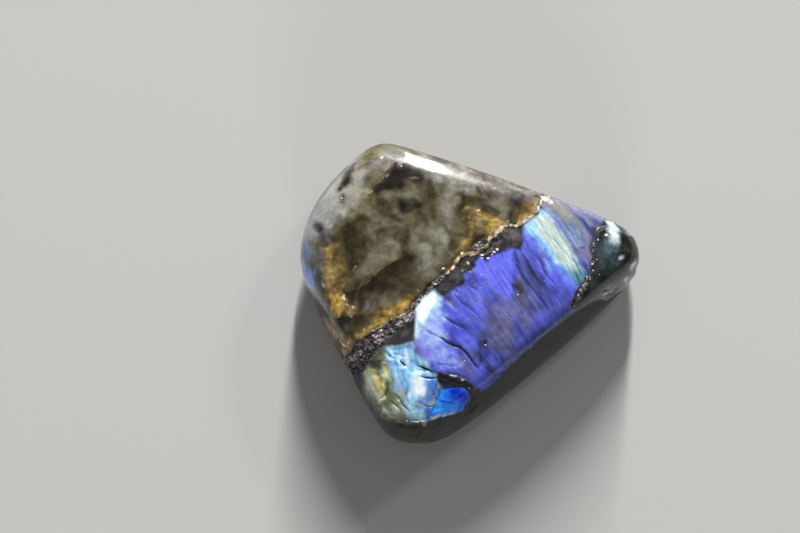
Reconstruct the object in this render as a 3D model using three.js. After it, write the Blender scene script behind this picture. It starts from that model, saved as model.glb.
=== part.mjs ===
// Labradorite freeform: one palm-sized stone, ground into a low rounded wedge and polished all over.
// Millimetres, +Z up. The stone rests on the flat of its back, which lies on z = 0, and the origin
// is at the middle of that flat. +X runs along the stone's length, +Y towards its long back edge.

import * as THREE from "three";

// Driving dimensions, in mm.
const HEART_HEIGHT = 8; // height above the flat of the point that every ground face is measured from
const EDGE_SOFTNESS = 0.9; // how much the polish rounds an edge: an upright edge gets a radius near 2.2
const STRETCH_OUT = 27; // typical half width and half height, which space the rings evenly
const STRETCH_UP = 9.5;

// How finely the skin is divided.
const SPOKES = 96; // round the stone
const RINGS = 38; // from the top of the face down to the edge of the flat
const HALVINGS = 40; // steps in the search for the skin along a ray

// The faces that the stone was ground to. Each looks along a compass direction (degrees, from +X
// towards +Y) and a tilt (degrees: 90 straight up, 0 sideways, below 0 downwards). Its distance from
// the heart and the radius that it is crowned to are in mm.
const GROUND_FACES = [
  { name: "display face", compass: 20, tilt: 88, distance: 10.0, crown: 190 },
  { name: "long back side", compass: 69, tilt: 4, distance: 21.3, crown: 400 },
  { name: "long back bevel", compass: 69, tilt: 50, distance: 18.9, crown: 400 },
  { name: "back corner", compass: 112, tilt: 8, distance: 33.0, crown: 60 },
  { name: "left back side", compass: 144, tilt: 8, distance: 33.2, crown: 90 },
  { name: "left back shoulder", compass: 143, tilt: 45, distance: 28.5, crown: 60 },
  { name: "left side", compass: 178, tilt: 4, distance: 31.6, crown: 80 },
  { name: "left shoulder", compass: 183, tilt: 45, distance: 27.0, crown: 60 },
  { name: "left front side", compass: 207, tilt: 2, distance: 25.6, crown: 300 },
  { name: "front left corner", compass: 240, tilt: -4, distance: 30.6, crown: 60 },
  { name: "front side", compass: 280, tilt: -6, distance: 27.1, crown: 60 },
  { name: "front right side", compass: 311, tilt: 6, distance: 17.3, crown: 400 },
  { name: "nose bevel", compass: 350, tilt: 62, distance: 19.3, crown: 200 },
  { name: "nose", compass: 352, tilt: 2, distance: 30.8, crown: 60 },
  { name: "nose back corner", compass: 32, tilt: 6, distance: 31.5, crown: 60 },
  { name: "under the back", compass: 69, tilt: -35, distance: 21.0, crown: 200 },
  { name: "under the left", compass: 165, tilt: -35, distance: 29.0, crown: 200 },
  { name: "under the left front", compass: 207, tilt: -35, distance: 25.0, crown: 200 },
  { name: "under the front", compass: 280, tilt: -35, distance: 25.0, crown: 200 },
  { name: "under the front right", compass: 311, tilt: -35, distance: 18.3, crown: 200 },
  { name: "under the nose", compass: 355, tilt: -35, distance: 29.0, crown: 200 },
];

// Finish: polished grey labradorite.
const STONE_COLOUR = 0x6f7480;
const STONE_ROUGHNESS = 0.15;

function outward(face) {
  const compass = THREE.MathUtils.degToRad(face.compass);
  const tilt = THREE.MathUtils.degToRad(face.tilt);
  return new THREE.Vector3(
    Math.cos(compass) * Math.cos(tilt),
    Math.sin(compass) * Math.cos(tilt),
    Math.sin(tilt),
  );
}

const groundFaces = GROUND_FACES.map((face) => ({ ...face, normal: outward(face) }));

// How far a point, measured from the heart, lies outside one crowned face. Below 0 is inside.
function outsideFace(point, face) {
  const along = point.dot(face.normal);
  const acrossSquared = point.lengthSq() - along * along;
  return along - face.distance + acrossSquared / (2 * face.crown);
}

// All the faces together, with their edges rounded: 0 on the stone's skin.
function outsideStone(point) {
  const outside = groundFaces.map((face) => outsideFace(point, face) / EDGE_SOFTNESS);
  const worst = Math.max(...outside);
  const sum = outside.reduce((total, value) => total + Math.exp(value - worst), 0);
  return EDGE_SOFTNESS * (worst + Math.log(sum));
}

// Where a ray from `start` along `step` leaves the stone.
function leavingPoint(start, step) {
  let near = 0;
  let far = 3 * STRETCH_OUT;
  for (let i = 0; i < HALVINGS; i += 1) {
    const middle = (near + far) / 2;
    const point = start.clone().addScaledVector(step, middle);
    if (outsideStone(point) < 0) near = middle;
    else far = middle;
  }
  return start.clone().addScaledVector(step, near);
}

// One profile of the skin, from just below the top to the edge of the flat, seen from the heart.
function spoke(compass) {
  const sideways = new THREE.Vector3(Math.cos(compass), Math.sin(compass), 0);
  const flatEdge = leavingPoint(new THREE.Vector3(0, 0, -HEART_HEIGHT), sideways);
  const flatReach = Math.hypot(flatEdge.x, flatEdge.y);
  const lastAngle = Math.atan2(flatReach / STRETCH_OUT, -HEART_HEIGHT / STRETCH_UP);
  const points = [];
  for (let ring = 1; ring < RINGS; ring += 1) {
    const angle = (lastAngle * ring) / RINGS;
    const step = sideways.clone().multiplyScalar(STRETCH_OUT * Math.sin(angle));
    step.z = STRETCH_UP * Math.cos(angle);
    points.push(leavingPoint(new THREE.Vector3(), step.normalize()));
  }
  points.push(flatEdge);
  return points;
}

function makeStoneGeometry() {
  const top = leavingPoint(new THREE.Vector3(), new THREE.Vector3(0, 0, 1));
  const flatMiddle = new THREE.Vector3(0, 0, -HEART_HEIGHT);
  const points = [top];
  for (let s = 0; s < SPOKES; s += 1) {
    points.push(...spoke((2 * Math.PI * s) / SPOKES));
  }
  points.push(flatMiddle);

  const topIndex = 0;
  const flatIndex = points.length - 1;
  const at = (s, ring) => 1 + (s % SPOKES) * RINGS + ring;
  const faces = [];
  for (let s = 0; s < SPOKES; s += 1) {
    faces.push(topIndex, at(s, 0), at(s + 1, 0));
    for (let ring = 0; ring < RINGS - 1; ring += 1) {
      faces.push(at(s, ring), at(s, ring + 1), at(s + 1, ring + 1));
      faces.push(at(s, ring), at(s + 1, ring + 1), at(s + 1, ring));
    }
    faces.push(flatIndex, at(s + 1, RINGS - 1), at(s, RINGS - 1));
  }

  const geometry = new THREE.BufferGeometry();
  geometry.setFromPoints(points);
  geometry.setIndex(faces);
  geometry.computeBoundingBox();
  const middle = geometry.boundingBox.getCenter(new THREE.Vector3());
  geometry.translate(-middle.x, -middle.y, HEART_HEIGHT);
  geometry.computeVertexNormals();
  return geometry;
}

function makeStone() {
  const material = new THREE.MeshStandardMaterial({
    color: STONE_COLOUR,
    roughness: STONE_ROUGHNESS,
    metalness: 0,
  });
  const stone = new THREE.Mesh(makeStoneGeometry(), material);
  stone.name = "stone";
  return stone;
}

const freeform = new THREE.Group();
freeform.add(makeStone());

export default freeform;
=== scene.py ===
# %% [markdown]
# # A polished labradorite freeform
#
# Labradorite is a feldspar. Very thin sheets inside it, called lamellae, throw back one band of
# colour each, which is the blue, cyan and gold flash. A freeform is such a stone ground by hand to
# whatever outline the rough piece allowed, and then polished until it looks wet.
#
# The lesson builds it in the order a cutter meets it: the ground shape first, then the veins and
# cracks that the wheel couldn't remove, then the minerals that show in the polished skin. Shapes
# are worked out in millimetres from a point inside the stone, its heart, and turned into metres at
# the end.

# %% Load the frame
import math

import bpy
import numpy as np
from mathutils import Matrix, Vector


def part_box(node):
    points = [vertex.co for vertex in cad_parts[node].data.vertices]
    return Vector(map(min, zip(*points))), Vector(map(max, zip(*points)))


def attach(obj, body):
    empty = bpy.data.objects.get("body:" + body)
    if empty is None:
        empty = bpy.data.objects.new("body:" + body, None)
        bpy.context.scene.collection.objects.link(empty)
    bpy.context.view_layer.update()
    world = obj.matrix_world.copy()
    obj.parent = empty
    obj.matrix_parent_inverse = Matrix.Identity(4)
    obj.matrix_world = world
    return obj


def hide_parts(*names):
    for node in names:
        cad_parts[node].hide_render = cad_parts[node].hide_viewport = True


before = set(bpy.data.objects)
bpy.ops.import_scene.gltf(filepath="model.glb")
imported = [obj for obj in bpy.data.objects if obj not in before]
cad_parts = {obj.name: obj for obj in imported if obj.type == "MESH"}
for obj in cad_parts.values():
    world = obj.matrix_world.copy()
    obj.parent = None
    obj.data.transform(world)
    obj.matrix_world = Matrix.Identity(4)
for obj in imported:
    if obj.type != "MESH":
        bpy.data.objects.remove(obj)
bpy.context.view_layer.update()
MM = 0.001
cad_low, cad_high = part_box("stone")
print("the stone is", [round((b - a) / MM, 1) for a, b in zip(cad_low, cad_high)], "mm")

# %% [markdown]
# ## Camera
#
# A palm stone is small, so it is looked at from close by with a long lens, which keeps the far
# edge nearly as large as the near one. The camera stands in front of the stone and looks steeply
# down on its display face.

# %% Camera
IMAGE_WIDTH, IMAGE_HEIGHT = 800, 533
HEART_PIXEL = (470, 293)  # where the stone's heart falls in the picture
PIXELS_PER_MM = 5.6  # at the heart
LOOK_DOWN = math.radians(70)
CAMERA_DISTANCE = 0.6  # metres
SENSOR_WIDTH = 36  # mm
HEART_HEIGHT = 8  # mm above the flat that the stone rests on

picture_right = Vector((1, 0, 0))
picture_up = Vector((0, math.sin(LOOK_DOWN), math.cos(LOOK_DOWN)))
towards_camera = Vector((0, -math.cos(LOOK_DOWN), math.sin(LOOK_DOWN)))
aim_right = (IMAGE_WIDTH / 2 - HEART_PIXEL[0]) / PIXELS_PER_MM * MM
aim_up = (HEART_PIXEL[1] - IMAGE_HEIGHT / 2) / PIXELS_PER_MM * MM

camera_data = bpy.data.cameras.new("camera")
camera_data.sensor_width = SENSOR_WIDTH
camera_data.lens = SENSOR_WIDTH * CAMERA_DISTANCE / MM * PIXELS_PER_MM / IMAGE_WIDTH
camera = bpy.data.objects.new("camera", camera_data)
bpy.context.scene.collection.objects.link(camera)
bpy.context.scene.camera = camera


def aim_camera(heart):
    """Points the camera so that the heart, in metres, falls on its pixel."""
    target = heart + picture_right * aim_right + picture_up * aim_up
    camera.location = target + towards_camera * CAMERA_DISTANCE
    camera.rotation_mode = "QUATERNION"
    camera.rotation_quaternion = (-towards_camera).to_track_quat("-Z", "Y")


print("lens", round(camera_data.lens), "mm")

# %% [markdown]
# ## Ground shape
#
# A cutter grinds a freeform face by face and rolls every edge into the next on the wheel. The same
# idea makes the mesh: each ground face is a slightly crowned plane, and a soft maximum of them all
# rounds the edges. A box of rays from the heart finds the skin. Most of the rays go to the display
# face, because the finest detail is there. A sculpted lump or a voxel remesh would lose both the
# crisp long edge and the even spacing of the points.

# %% Ground faces
EDGE_SOFTNESS = 0.9  # mm that the polish eats into an edge
BEYOND_SKIN = 90.0  # mm from the heart, well outside the stone
HALVINGS = 27  # of that distance, which leaves less than a thousandth of a micrometre
GROUND_FACES = {  # compass degrees, tilt degrees, distance from the heart mm, crown radius mm
    "display face": (20, 88, 10.0, 190),
    "long back side": (69, 4, 21.3, 400),
    "long back bevel": (69, 50, 18.9, 400),
    "back corner": (112, 8, 33.0, 60),
    "left back side": (144, 8, 33.2, 90),
    "left back shoulder": (143, 45, 28.5, 60),
    "left side": (178, 4, 31.6, 80),
    "left shoulder": (183, 45, 27.0, 60),
    "left front side": (207, 2, 25.6, 300),
    "front left corner": (240, -4, 30.6, 60),
    "front side": (280, -6, 27.1, 60),
    "front right side": (311, 6, 17.3, 400),
    "nose bevel": (350, 62, 19.3, 200),
    "nose": (352, 2, 30.8, 60),
    "nose back corner": (32, 6, 31.5, 60),
    "under the back": (69, -35, 21.0, 200),
    "under the left": (165, -35, 29.0, 200),
    "under the left front": (207, -35, 25.0, 200),
    "under the front": (280, -35, 25.0, 200),
    "under the front right": (311, -35, 18.3, 200),
    "under the nose": (355, -35, 29.0, 200),
}
faces = np.array(list(GROUND_FACES.values()), float)
compass, tilt = np.radians(faces[:, 0]), np.radians(faces[:, 1])
face_ways = np.stack(
    [np.cos(compass) * np.cos(tilt), np.sin(compass) * np.cos(tilt), np.sin(tilt)], 1
)
face_distances, face_crowns = faces[:, 2], faces[:, 3]


def skin(points):
    """How far points lie outside the stone, in mm, and which way the skin faces there."""
    along = points @ face_ways.T
    across = (points**2).sum(1)[:, None] - along**2
    outside = (along - face_distances + across / (2 * face_crowns)) / EDGE_SOFTNESS
    worst = outside.max(1, keepdims=True)
    share = np.exp(outside - worst)
    total = share.sum(1, keepdims=True)
    share /= total
    way = share @ face_ways + points * (share / face_crowns).sum(1)[:, None]
    way -= (share * along / face_crowns) @ face_ways
    way /= np.linalg.norm(way, axis=1)[:, None]
    return EDGE_SOFTNESS * (worst + np.log(total))[:, 0], way


def leaving_points(starts, steps):
    """Where rays leave the stone. The search halves its span again and again."""
    steps = steps / np.linalg.norm(steps, axis=1)[:, None]
    near, far = np.zeros(len(steps)), np.full(len(steps), BEYOND_SKIN)
    for _ in range(HALVINGS):
        middle = (near + far) / 2
        inside = skin(starts + steps * middle[:, None])[0] < 0
        near, far = np.where(inside, middle, near), np.where(inside, far, middle)
    return starts + steps * near[:, None]


print(len(GROUND_FACES), "ground faces")

# %% Rays from the heart
TOP_CELLS = (250, 226)  # about a quarter of a millimetre each
SIDE_RINGS = 32  # from the display face down to the flat
FLAT_RINGS = 5  # from the edge of the flat to its middle
RAY_BOX = (30.0, 27.5, 9.5)  # half sizes of the box that the rays pass through, mm

columns, rows = TOP_CELLS[0] + 1, TOP_CELLS[1] + 1
grid_x, grid_y = np.meshgrid(np.linspace(-1, 1, columns), np.linspace(-1, 1, rows))
top_rays = np.stack([grid_x, grid_y, np.ones_like(grid_x)], -1).reshape(-1, 3) * RAY_BOX
top_points = leaving_points(np.zeros_like(top_rays), top_rays)

front_row = list(range(columns - 1))
right_column = [r * columns + columns - 1 for r in range(rows - 1)]
back_row = [rows * columns - 1 - c for c in range(columns - 1)]
left_column = [(rows - 1 - r) * columns for r in range(rows - 1)]
border = np.array(front_row + right_column + back_row + left_column)

flat_middle = np.array([0.0, 0.0, -HEART_HEIGHT])
sideways = top_rays[border] * (1, 1, 0)
flat_edge = leaving_points(np.tile(flat_middle, (len(border), 1)), sideways)
rings = []
for ring in range(1, SIDE_RINGS):
    rays = top_points[border] + (flat_edge - top_points[border]) * ring / SIDE_RINGS
    rings.append(leaving_points(np.zeros_like(rays), rays))
for ring in range(FLAT_RINGS):
    rings.append(flat_edge + (flat_middle - flat_edge) * ring / FLAT_RINGS)
skin_points = np.concatenate([top_points, *rings, flat_middle[None]])
skin_ways = skin(skin_points)[1]
on_flat = np.arange(len(skin_points)) >= len(skin_points) - 1 - FLAT_RINGS * len(border)
skin_ways[on_flat] = (0, 0, -1)
print(len(skin_points), "points on the skin")

# %% [markdown]
# ## Map of the display face
#
# The veins, stains and flashes need places. They are given on a flat map in millimetres, with the
# heart at its middle, as the face looks to an eye 0.6 m away, in front of the stone and well above
# it. A place is worked out once for each point of the mesh and then stays on the stone. Veins and
# cracks are sheets that go right through the rock, so the same map also says where they come out
# at the sides and underneath. Smooth random lumps bend the map a little, so that no drawn edge
# stays straight.

# %% Map and random lumps
map_up = np.array(picture_up)
map_way = np.array(towards_camera)
CELL_STEPS = np.array([73856093, 19349663, 83492791])  # odd numbers that scatter the cells
SEED_STEP, FIRST_MIX, SECOND_MIX = 2654435761, 2246822519, 3266489917
LOW_32_BITS = 0xFFFFFFFF
PATTERN_SHIFT = 100.0  # cells, and any other number would give another pattern
LUMP_GAIN = 1.6  # averaged heights stay near 0, so they are stretched back to about -1 to 1
BEND = 0.35  # mm that the lumps bend the map


def lumps(points, size, seed, octaves=3):
    """Smooth random heights from -1 to 1 at points in mm. size is how far apart big ones lie."""
    heights, weight = np.zeros(len(points)), 0.0
    for octave in range(octaves):
        place = points * 2**octave / size + PATTERN_SHIFT
        cell = np.floor(place).astype(np.int64)
        part = place - cell
        part = part * part * (3 - 2 * part)
        value = np.zeros(len(points))
        for corner in np.ndindex(2, 2, 2):
            key = (cell + corner) @ CELL_STEPS
            key = (key + (seed + octave) * SEED_STEP) & LOW_32_BITS
            key = ((key ^ (key >> 15)) * FIRST_MIX) & LOW_32_BITS
            key = ((key ^ (key >> 13)) * SECOND_MIX) & LOW_32_BITS
            near = np.where(corner, part, 1 - part).prod(1)
            value += near * ((key ^ (key >> 16)) / 2.0**31 - 1)
        heights += value * 0.5**octave
        weight += 0.5**octave
    return heights / weight * LUMP_GAIN


def fade(value, start, end):
    """0 at start, 1 at end, and smooth between."""
    part = np.clip((value - start) / (end - start), 0, 1)
    return part * part * (3 - 2 * part)


map_middle = np.array([aim_right, aim_up]) / MM
nearness = 1 - skin_points @ map_way * MM / CAMERA_DISTANCE
level_map = np.stack([skin_points[:, 0], skin_points @ map_up], 1)
true_map = (level_map - map_middle) / nearness[:, None] + map_middle
bend = np.stack([lumps(skin_points, 3.0, seed) for seed in (11, 12)], 1)
bent_map = true_map + BEND * bend
ragged = lumps(skin_points, 1.5, 13)
facing_map = skin_ways @ map_way
seen = fade(facing_map, 0.05, 0.45)  # 1 where the polish faces the map, 0 underneath
hidden = 1 - seen
print("map spans", true_map.min(0).round(1), "to", true_map.max(0).round(1), "mm")

# %% [markdown]
# ## Brushes
#
# Three brushes draw on the map: a soft oval, a line and a filled outline. Each gives every point
# of the mesh a number from 0 to 1. Painting by hand in Blender would do the same, but numbers can
# be read, changed and run again.

# %% Spots, strokes and areas on the map
SPOT_RAG, STROKE_RAG, AREA_RAG = 0.25, 0.4, 0.35  # how far the lumps roughen each brush's edge


def spot(across, up, half_long, half_wide=None, power=1.0, lean=0, soft=0.65):
    """A soft oval: power in its middle, 0 well outside. lean is in degrees, anticlockwise."""
    turn = math.radians(lean)
    x, y = (bent_map - (across, up)).T
    long = x * math.cos(turn) + y * math.sin(turn)
    wide = y * math.cos(turn) - x * math.sin(turn)
    reach = np.hypot(long / half_long, wide / (half_wide or half_long)) + SPOT_RAG * ragged
    return power * fade(reach, 1 + soft, 1 - soft)


def spots(*rows):
    """A spot for each row of numbers, in the order that spot takes them."""
    return [spot(*row) for row in rows]


def along_line(points, where):
    """Distance to a bent line in mm, and how far along it the nearest place is, from 0 to 1."""
    points = np.array(points, float)
    lengths = np.linalg.norm(np.diff(points, axis=0), axis=1)
    best, place, done = np.full(len(where), 1e9), np.zeros(len(where)), 0.0
    for start, end, length in zip(points, points[1:], lengths):
        part = np.clip((where - start) @ (end - start) / length**2, 0, 1)
        away = np.linalg.norm(where - start - part[:, None] * (end - start), axis=1)
        place = np.where(away < best, done + part * length, place)
        best, done = np.minimum(best, away), done + length
    return best, place / lengths.sum()


def thinning(place):
    """How wide a line is that thins out to both ends, as a share of its middle."""
    return np.sqrt(np.clip(4 * place * (1 - place), 0.05, 1))


def stroke(points, half_width, power=1.0, soft=0.25, taper=False):
    """A line drawn through the points. With taper it thins out towards both ends."""
    away, place = along_line(points, bent_map)
    away = away + STROKE_RAG * min(half_width, 0.6) * ragged
    if taper:
        half_width = half_width * thinning(place)
    return power * fade(away, half_width + soft, half_width - soft)


def depth_inside(points, where):
    """Distance in mm to the outline through the points: above 0 inside it, below 0 outside."""
    points = np.array(points, float)
    inside = np.zeros(len(where), bool)
    for (x0, y0), (x1, y1) in zip(points, np.roll(points, -1, 0)):
        spans = (y0 > where[:, 1]) != (y1 > where[:, 1])
        crossing = x0 + (where[:, 1] - y0) / (y1 - y0 + 1e-12) * (x1 - x0)
        inside ^= spans & (where[:, 0] < crossing)
    away = along_line(np.concatenate([points, points[:1]]), where)[0]
    return np.where(inside, away, -away)


def area(points, power=1.0, soft=0.5):
    """A filled outline with a soft edge."""
    return power * fade(depth_inside(points, bent_map) + AREA_RAG * ragged, -soft, soft)


def together(*covers):
    """Overlapping glazes of one mineral: together they never cover more than all of the stone."""
    bare = np.ones(len(skin_points))
    for cover in covers:
        bare = bare * (1 - np.clip(cover, 0, 1))
    return 1 - bare


print("a spot of 2 mm covers", int((spot(0, 0, 2) > 0.5).sum()), "points")

# %% [markdown]
# ## Veins
#
# Two old fractures cross the stone. They were filled by crushed feldspar and dark grit, which is
# softer than the rest, so the wheel left them as rough troughs. The main one splits the face into
# a cloudy half and a flashing half. It is drawn as an outline because its width changes so much,
# and the narrow one at the nose as a line.

# %% Outlines of the veins
MAIN_VEIN = [
    (-24.5, -12.6), (-21.9, -10.9), (-20.7, -9.8), (-19.9, -8.6), (-18.6, -7.6), (-17, -6.8),
    (-15.6, -6.1), (-14.7, -5.2), (-13.4, -4.6), (-12, -3.9), (-11, -2.9), (-10.1, -1.6),
    (-9.1, -0.7), (-8.2, 0.4), (-7.2, 1.5), (-6, 2.5), (-4.8, 3.4), (-3.9, 4.2),
    (-3.4, 3.9), (-4.4, 3), (-5.4, 2), (-6.4, 1.1), (-7.4, 0.2), (-8.5, -0.8),
    (-9.4, -2), (-9.9, -3.4), (-10.2, -4.8), (-11.2, -5.6), (-12.2, -6.2), (-13.4, -7),
    (-14.4, -8), (-15.2, -9.2), (-16.2, -10.2), (-17.4, -11.2), (-18.1, -12.2),
    (-18.4, -13.4), (-20, -14.6), (-25, -15),
]
CRUSHED_POCKET = [(0.1, 8), (0.8, 8.9), (1.8, 9.3), (2.9, 9.4), (2.7, 8.7), (1.9, 8.1),
                  (0.9, 7.8)]
DARK_POCKET = [(1.4, 7.1), (2.6, 8.1), (3.4, 9), (3.9, 9.9), (4.8, 10.4), (5.6, 10.7),
               (5.8, 9.6), (5.4, 8.6), (4.8, 7.9), (4, 7.2), (3.2, 7.3), (2.4, 6.9)]
NOSE_VEIN = [
    (23.9, 11.8), (23, 10.9), (22.3, 9.6), (22.1, 7.8), (22.3, 6.2), (21.7, 4.9), (21.2, 3.5),
    (20.6, 2), (20.2, 0.8), (19.3, -0.3), (18.6, -2),
]
PALE_STREAK = [(-22.8, -12.8), (-20.4, -10.9), (-17.8, -9.3), (-15.2, -7.4), (-13.2, -6),
               (-11.4, -4.6), (-10.4, -3.1)]
THIN_STREAK = [(-10.2, -2.4), (-9.2, -1.3), (-8, -0.1), (-6.8, 1.1), (-5.4, 2.3), (-4, 3.7)]
print("the main vein's outline has", len(MAIN_VEIN), "points")

# %% How deep each point lies in a vein
NOSE_VEIN_HALF = 0.10  # mm at the top, and 0.25 more from its middle on
STREAK_HALF, THIN_STREAK_HALF = 0.56, 0.26  # mm, half as wide as the two pale streaks
fray = 0.16 * lumps(skin_points, 0.9, 21, 2) + 0.12 * ragged
pocket_depth = np.maximum(depth_inside(CRUSHED_POCKET, true_map),
                          depth_inside(DARK_POCKET, true_map))
nose_away, nose_place = along_line(NOSE_VEIN, true_map)
nose_depth = NOSE_VEIN_HALF + 0.25 * fade(nose_place, 0.3, 0.5)
nose_depth += 0.5 * lumps(skin_points, 1.2, 22, 2)
nose_depth -= nose_away
main_depth = np.maximum(depth_inside(MAIN_VEIN, true_map), pocket_depth) + fray
vein_depth = np.maximum(main_depth, nose_depth)
VEIN_LEAN = math.radians(38)
along_vein = true_map @ (math.cos(VEIN_LEAN), math.sin(VEIN_LEAN))
across_vein = true_map @ (-math.sin(VEIN_LEAN), math.cos(VEIN_LEAN))
drawn_out = np.stack([0.45 * along_vein, 1.3 * across_vein, 0.5 * skin_points[:, 2]], 1)
crush = lumps(drawn_out, 1.1, 23)  # lumps three times as long along the vein as across it
pale_depth = np.max([
    STREAK_HALF - along_line(PALE_STREAK, true_map)[0] + 1.1 * crush,
    THIN_STREAK_HALF - along_line(THIN_STREAK, true_map)[0] + 0.25 * crush,
    depth_inside(CRUSHED_POCKET, true_map) + 0.1 + 0.3 * crush,
    nose_depth - 0.55 + 0.6 * crush,
], 0)
pale_depth = np.minimum(pale_depth, vein_depth - 0.05)
print("veins cover", round(100 * (vein_depth > 0).mean(), 1), "% of the points")

# %% [markdown]
# ## Cracks and worn places
#
# Labradorite splits along two flat directions. The front left corner has shed thin flakes there,
# which leaves short straight ledges and open cracks. The polish still runs over them, so each is
# only a few tenths of a millimetre deep. A crack is a line that thins out to both ends.

# %% Cracks
CRACKS = {  # half width in mm, then the points
    "upper blue": (0.12, [(-3.4, 0.5), (-2.4, -0.7), (-1.2, -1.9), (0.2, -2.9), (1.5, -4)]),
    "middle blue": (0.16, [(-4.7, -4), (-3.6, -4.9), (-2.2, -5.8), (-0.8, -6.5)]),
    "long blue left": (0.08, [(-8.8, -5.8), (-7.5, -6.9), (-5.9, -7.7), (-4.6, -8.4)]),
    "long blue": (0.28, [(-5.3, -7.7), (-4, -8.8), (-2.9, -9.3), (-1.8, -9.6), (-0.8, -10.4),
                         (0.2, -11.7), (1.4, -13.4)]),
    "by the fringe": (0.12, [(-0.8, 2.3), (0.3, 1.1), (1.6, 0.3)]),
    "short black": (0.2, [(-12.5, -12), (-11.9, -12.5), (-11.3, -13.1)]),
    "blade upper": (0.18, [(-9.6, -12.9), (-8.7, -13.1), (-7.6, -13.6), (-6.4, -14.3)]),
    "blade lower": (0.07, [(-9.6, -13.5), (-8.2, -13.8), (-6.8, -14.1)]),
    "blade end": (0.17, [(-9, -14.9), (-7.8, -15.1), (-6.9, -15.2), (-5.6, -15.1)]),
    "lip": (0.22, [(-5.4, -14.9), (-4, -15.5), (-2.6, -16), (-1, -16.5), (0, -17.3),
                   (0.6, -18.6), (0.5, -19.9), (-0.1, -20.9)]),
    "lip top": (0.1, [(-5, -13.9), (-3.7, -14.3), (-2.2, -14.5), (-0.8, -15), (0.3, -15.8)]),
    "ledge": (0.1, [(-15.4, -10.3), (-14.3, -11.4), (-13.2, -11.7)]),
    "ledge low": (0.06, [(-17.6, -12.6), (-15.6, -12.2), (-13.4, -12.6)]),
    "corner": (0.1, [(-13.4, -17.9), (-12.2, -19.4), (-10.7, -21.3)]),
    "hook": (0.08, [(-6.9, -17.2), (-6, -19.1), (-5.3, -17.7)]),
    "hook foot": (0.07, [(-6, -19.1), (-6.6, -20.8), (-8.2, -22.9)]),
    "right short": (0.09, [(4.7, -10.2), (5.6, -11.9), (6.5, -13.6)]),
    "thin low": (0.05, [(-5.9, -12.7), (-4, -12.9), (-2.4, -13)]),
    "thin low left": (0.06, [(-16.6, -19.2), (-15, -17.8), (-14.2, -16.2)]),
    "web upper": (0.05, [(-14.9, -11.2), (-13, -10.8), (-11.2, -11.3)]),
    "web long": (0.05, [(-13, -13.8), (-12.4, -15.8), (-11.6, -18), (-10.6, -20.2)]),
    "web low": (0.05, [(-9.4, -19.4), (-7.8, -20.2), (-6.4, -20.3)]),
    "web left": (0.06, [(-14.4, -19.2), (-12.8, -20.3), (-11, -22.8)]),
    "web gold": (0.05, [(-15.2, -12.9), (-14.4, -14.6), (-14.6, -16.6)]),
    "wall": (0.14, [(-8.7, -22.8), (-8.9, -24.2), (-9.5, -26.2), (-10.6, -29)]),
}


def line_depth(points, half_width):
    """How deep a place lies inside a line that thins out to both ends, in mm."""
    away, place = along_line(points, true_map + 0.12 * bend)
    return half_width * thinning(place) - away


crack_depth = np.max([line_depth(p, w) for w, p in CRACKS.values()], 0)
print(len(CRACKS), "cracks")

# %% [markdown]
# ## How the sheets lie
#
# The lamellae run slantwise over the map, and swing a little from one end of the stone to the
# other. Each point gets its place along the sheets and across them, so that streaks and hairlines
# can follow them.

# %% Lie of the lamellae
LAMELLA_LEAN = math.radians(-48)  # how the lamellae run on the map
swirl = LAMELLA_LEAN + 0.16 * lumps(skin_points, 26, 31, 1) - 0.006 * (true_map[:, 0] + 4)
along_lamella = true_map[:, 0] * np.cos(swirl) + true_map[:, 1] * np.sin(swirl)
across_lamella = true_map[:, 1] * np.cos(swirl) - true_map[:, 0] * np.sin(swirl)
lamella = np.stack([along_lamella, across_lamella, skin_points @ map_way], 1)
print("the lamellae lean", np.degrees([swirl.min(), swirl.max()]).round(), "degrees")

# %% [markdown]
# ## Relief
#
# The skin's points now move inwards along the way they face, and never outwards, because a wheel
# only takes stone away. A displacement modifier could do it too, but moving the points in code
# keeps the depths in millimetres.

# %% Relief
FLAKED = {  # flakes that came off: depth in mm, then the outline
    "blade": (0.16, [(-14.5, -10.2), (-10.4, -9.2), (-9.5, -12.8), (-7, -13.6), (-10.5, -14.6)]),
    "blue": (0.25, [(-5.6, -15.4), (-1, -16.7), (0.4, -18.4), (-0.6, -20.6), (-6.5, -20.8)]),
    "amber": (0.12, [(-16, -12.6), (-14.2, -13), (-13.7, -15.9), (-15.2, -15.7)]),
    "corner": (0.18, [(-18.6, -13.8), (-16.4, -14.4), (-15, -18.4), (-17.8, -19.6)]),
    "lip": (0.22, [(0, -17), (0.9, -18.2), (1, -20), (0.2, -21.4), (-0.9, -21.6)]),
}
NOSE_CHIPS = [(27.1, 6.1, 0.9), (26.6, 5.2, 0.7), (29.3, 4.6, 1), (28.2, 2.5, 0.8),
              (24.5, -0.3, 0.9), (25.8, 0.9, 0.7), (28.6, 11, 0.8), (19.4, -0.3, 0.8)]
# Depths in mm: the wheel's waves, a vein's trough and how rough it is, the pit where the main vein
# leaves the face, a crack and a chip.
WAVE, TROUGH, TROUGH_ROUGHNESS, PIT, CRACK, CHIP = 0.07, 0.22, 0.24, 0.7, 0.18, 0.22

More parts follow.
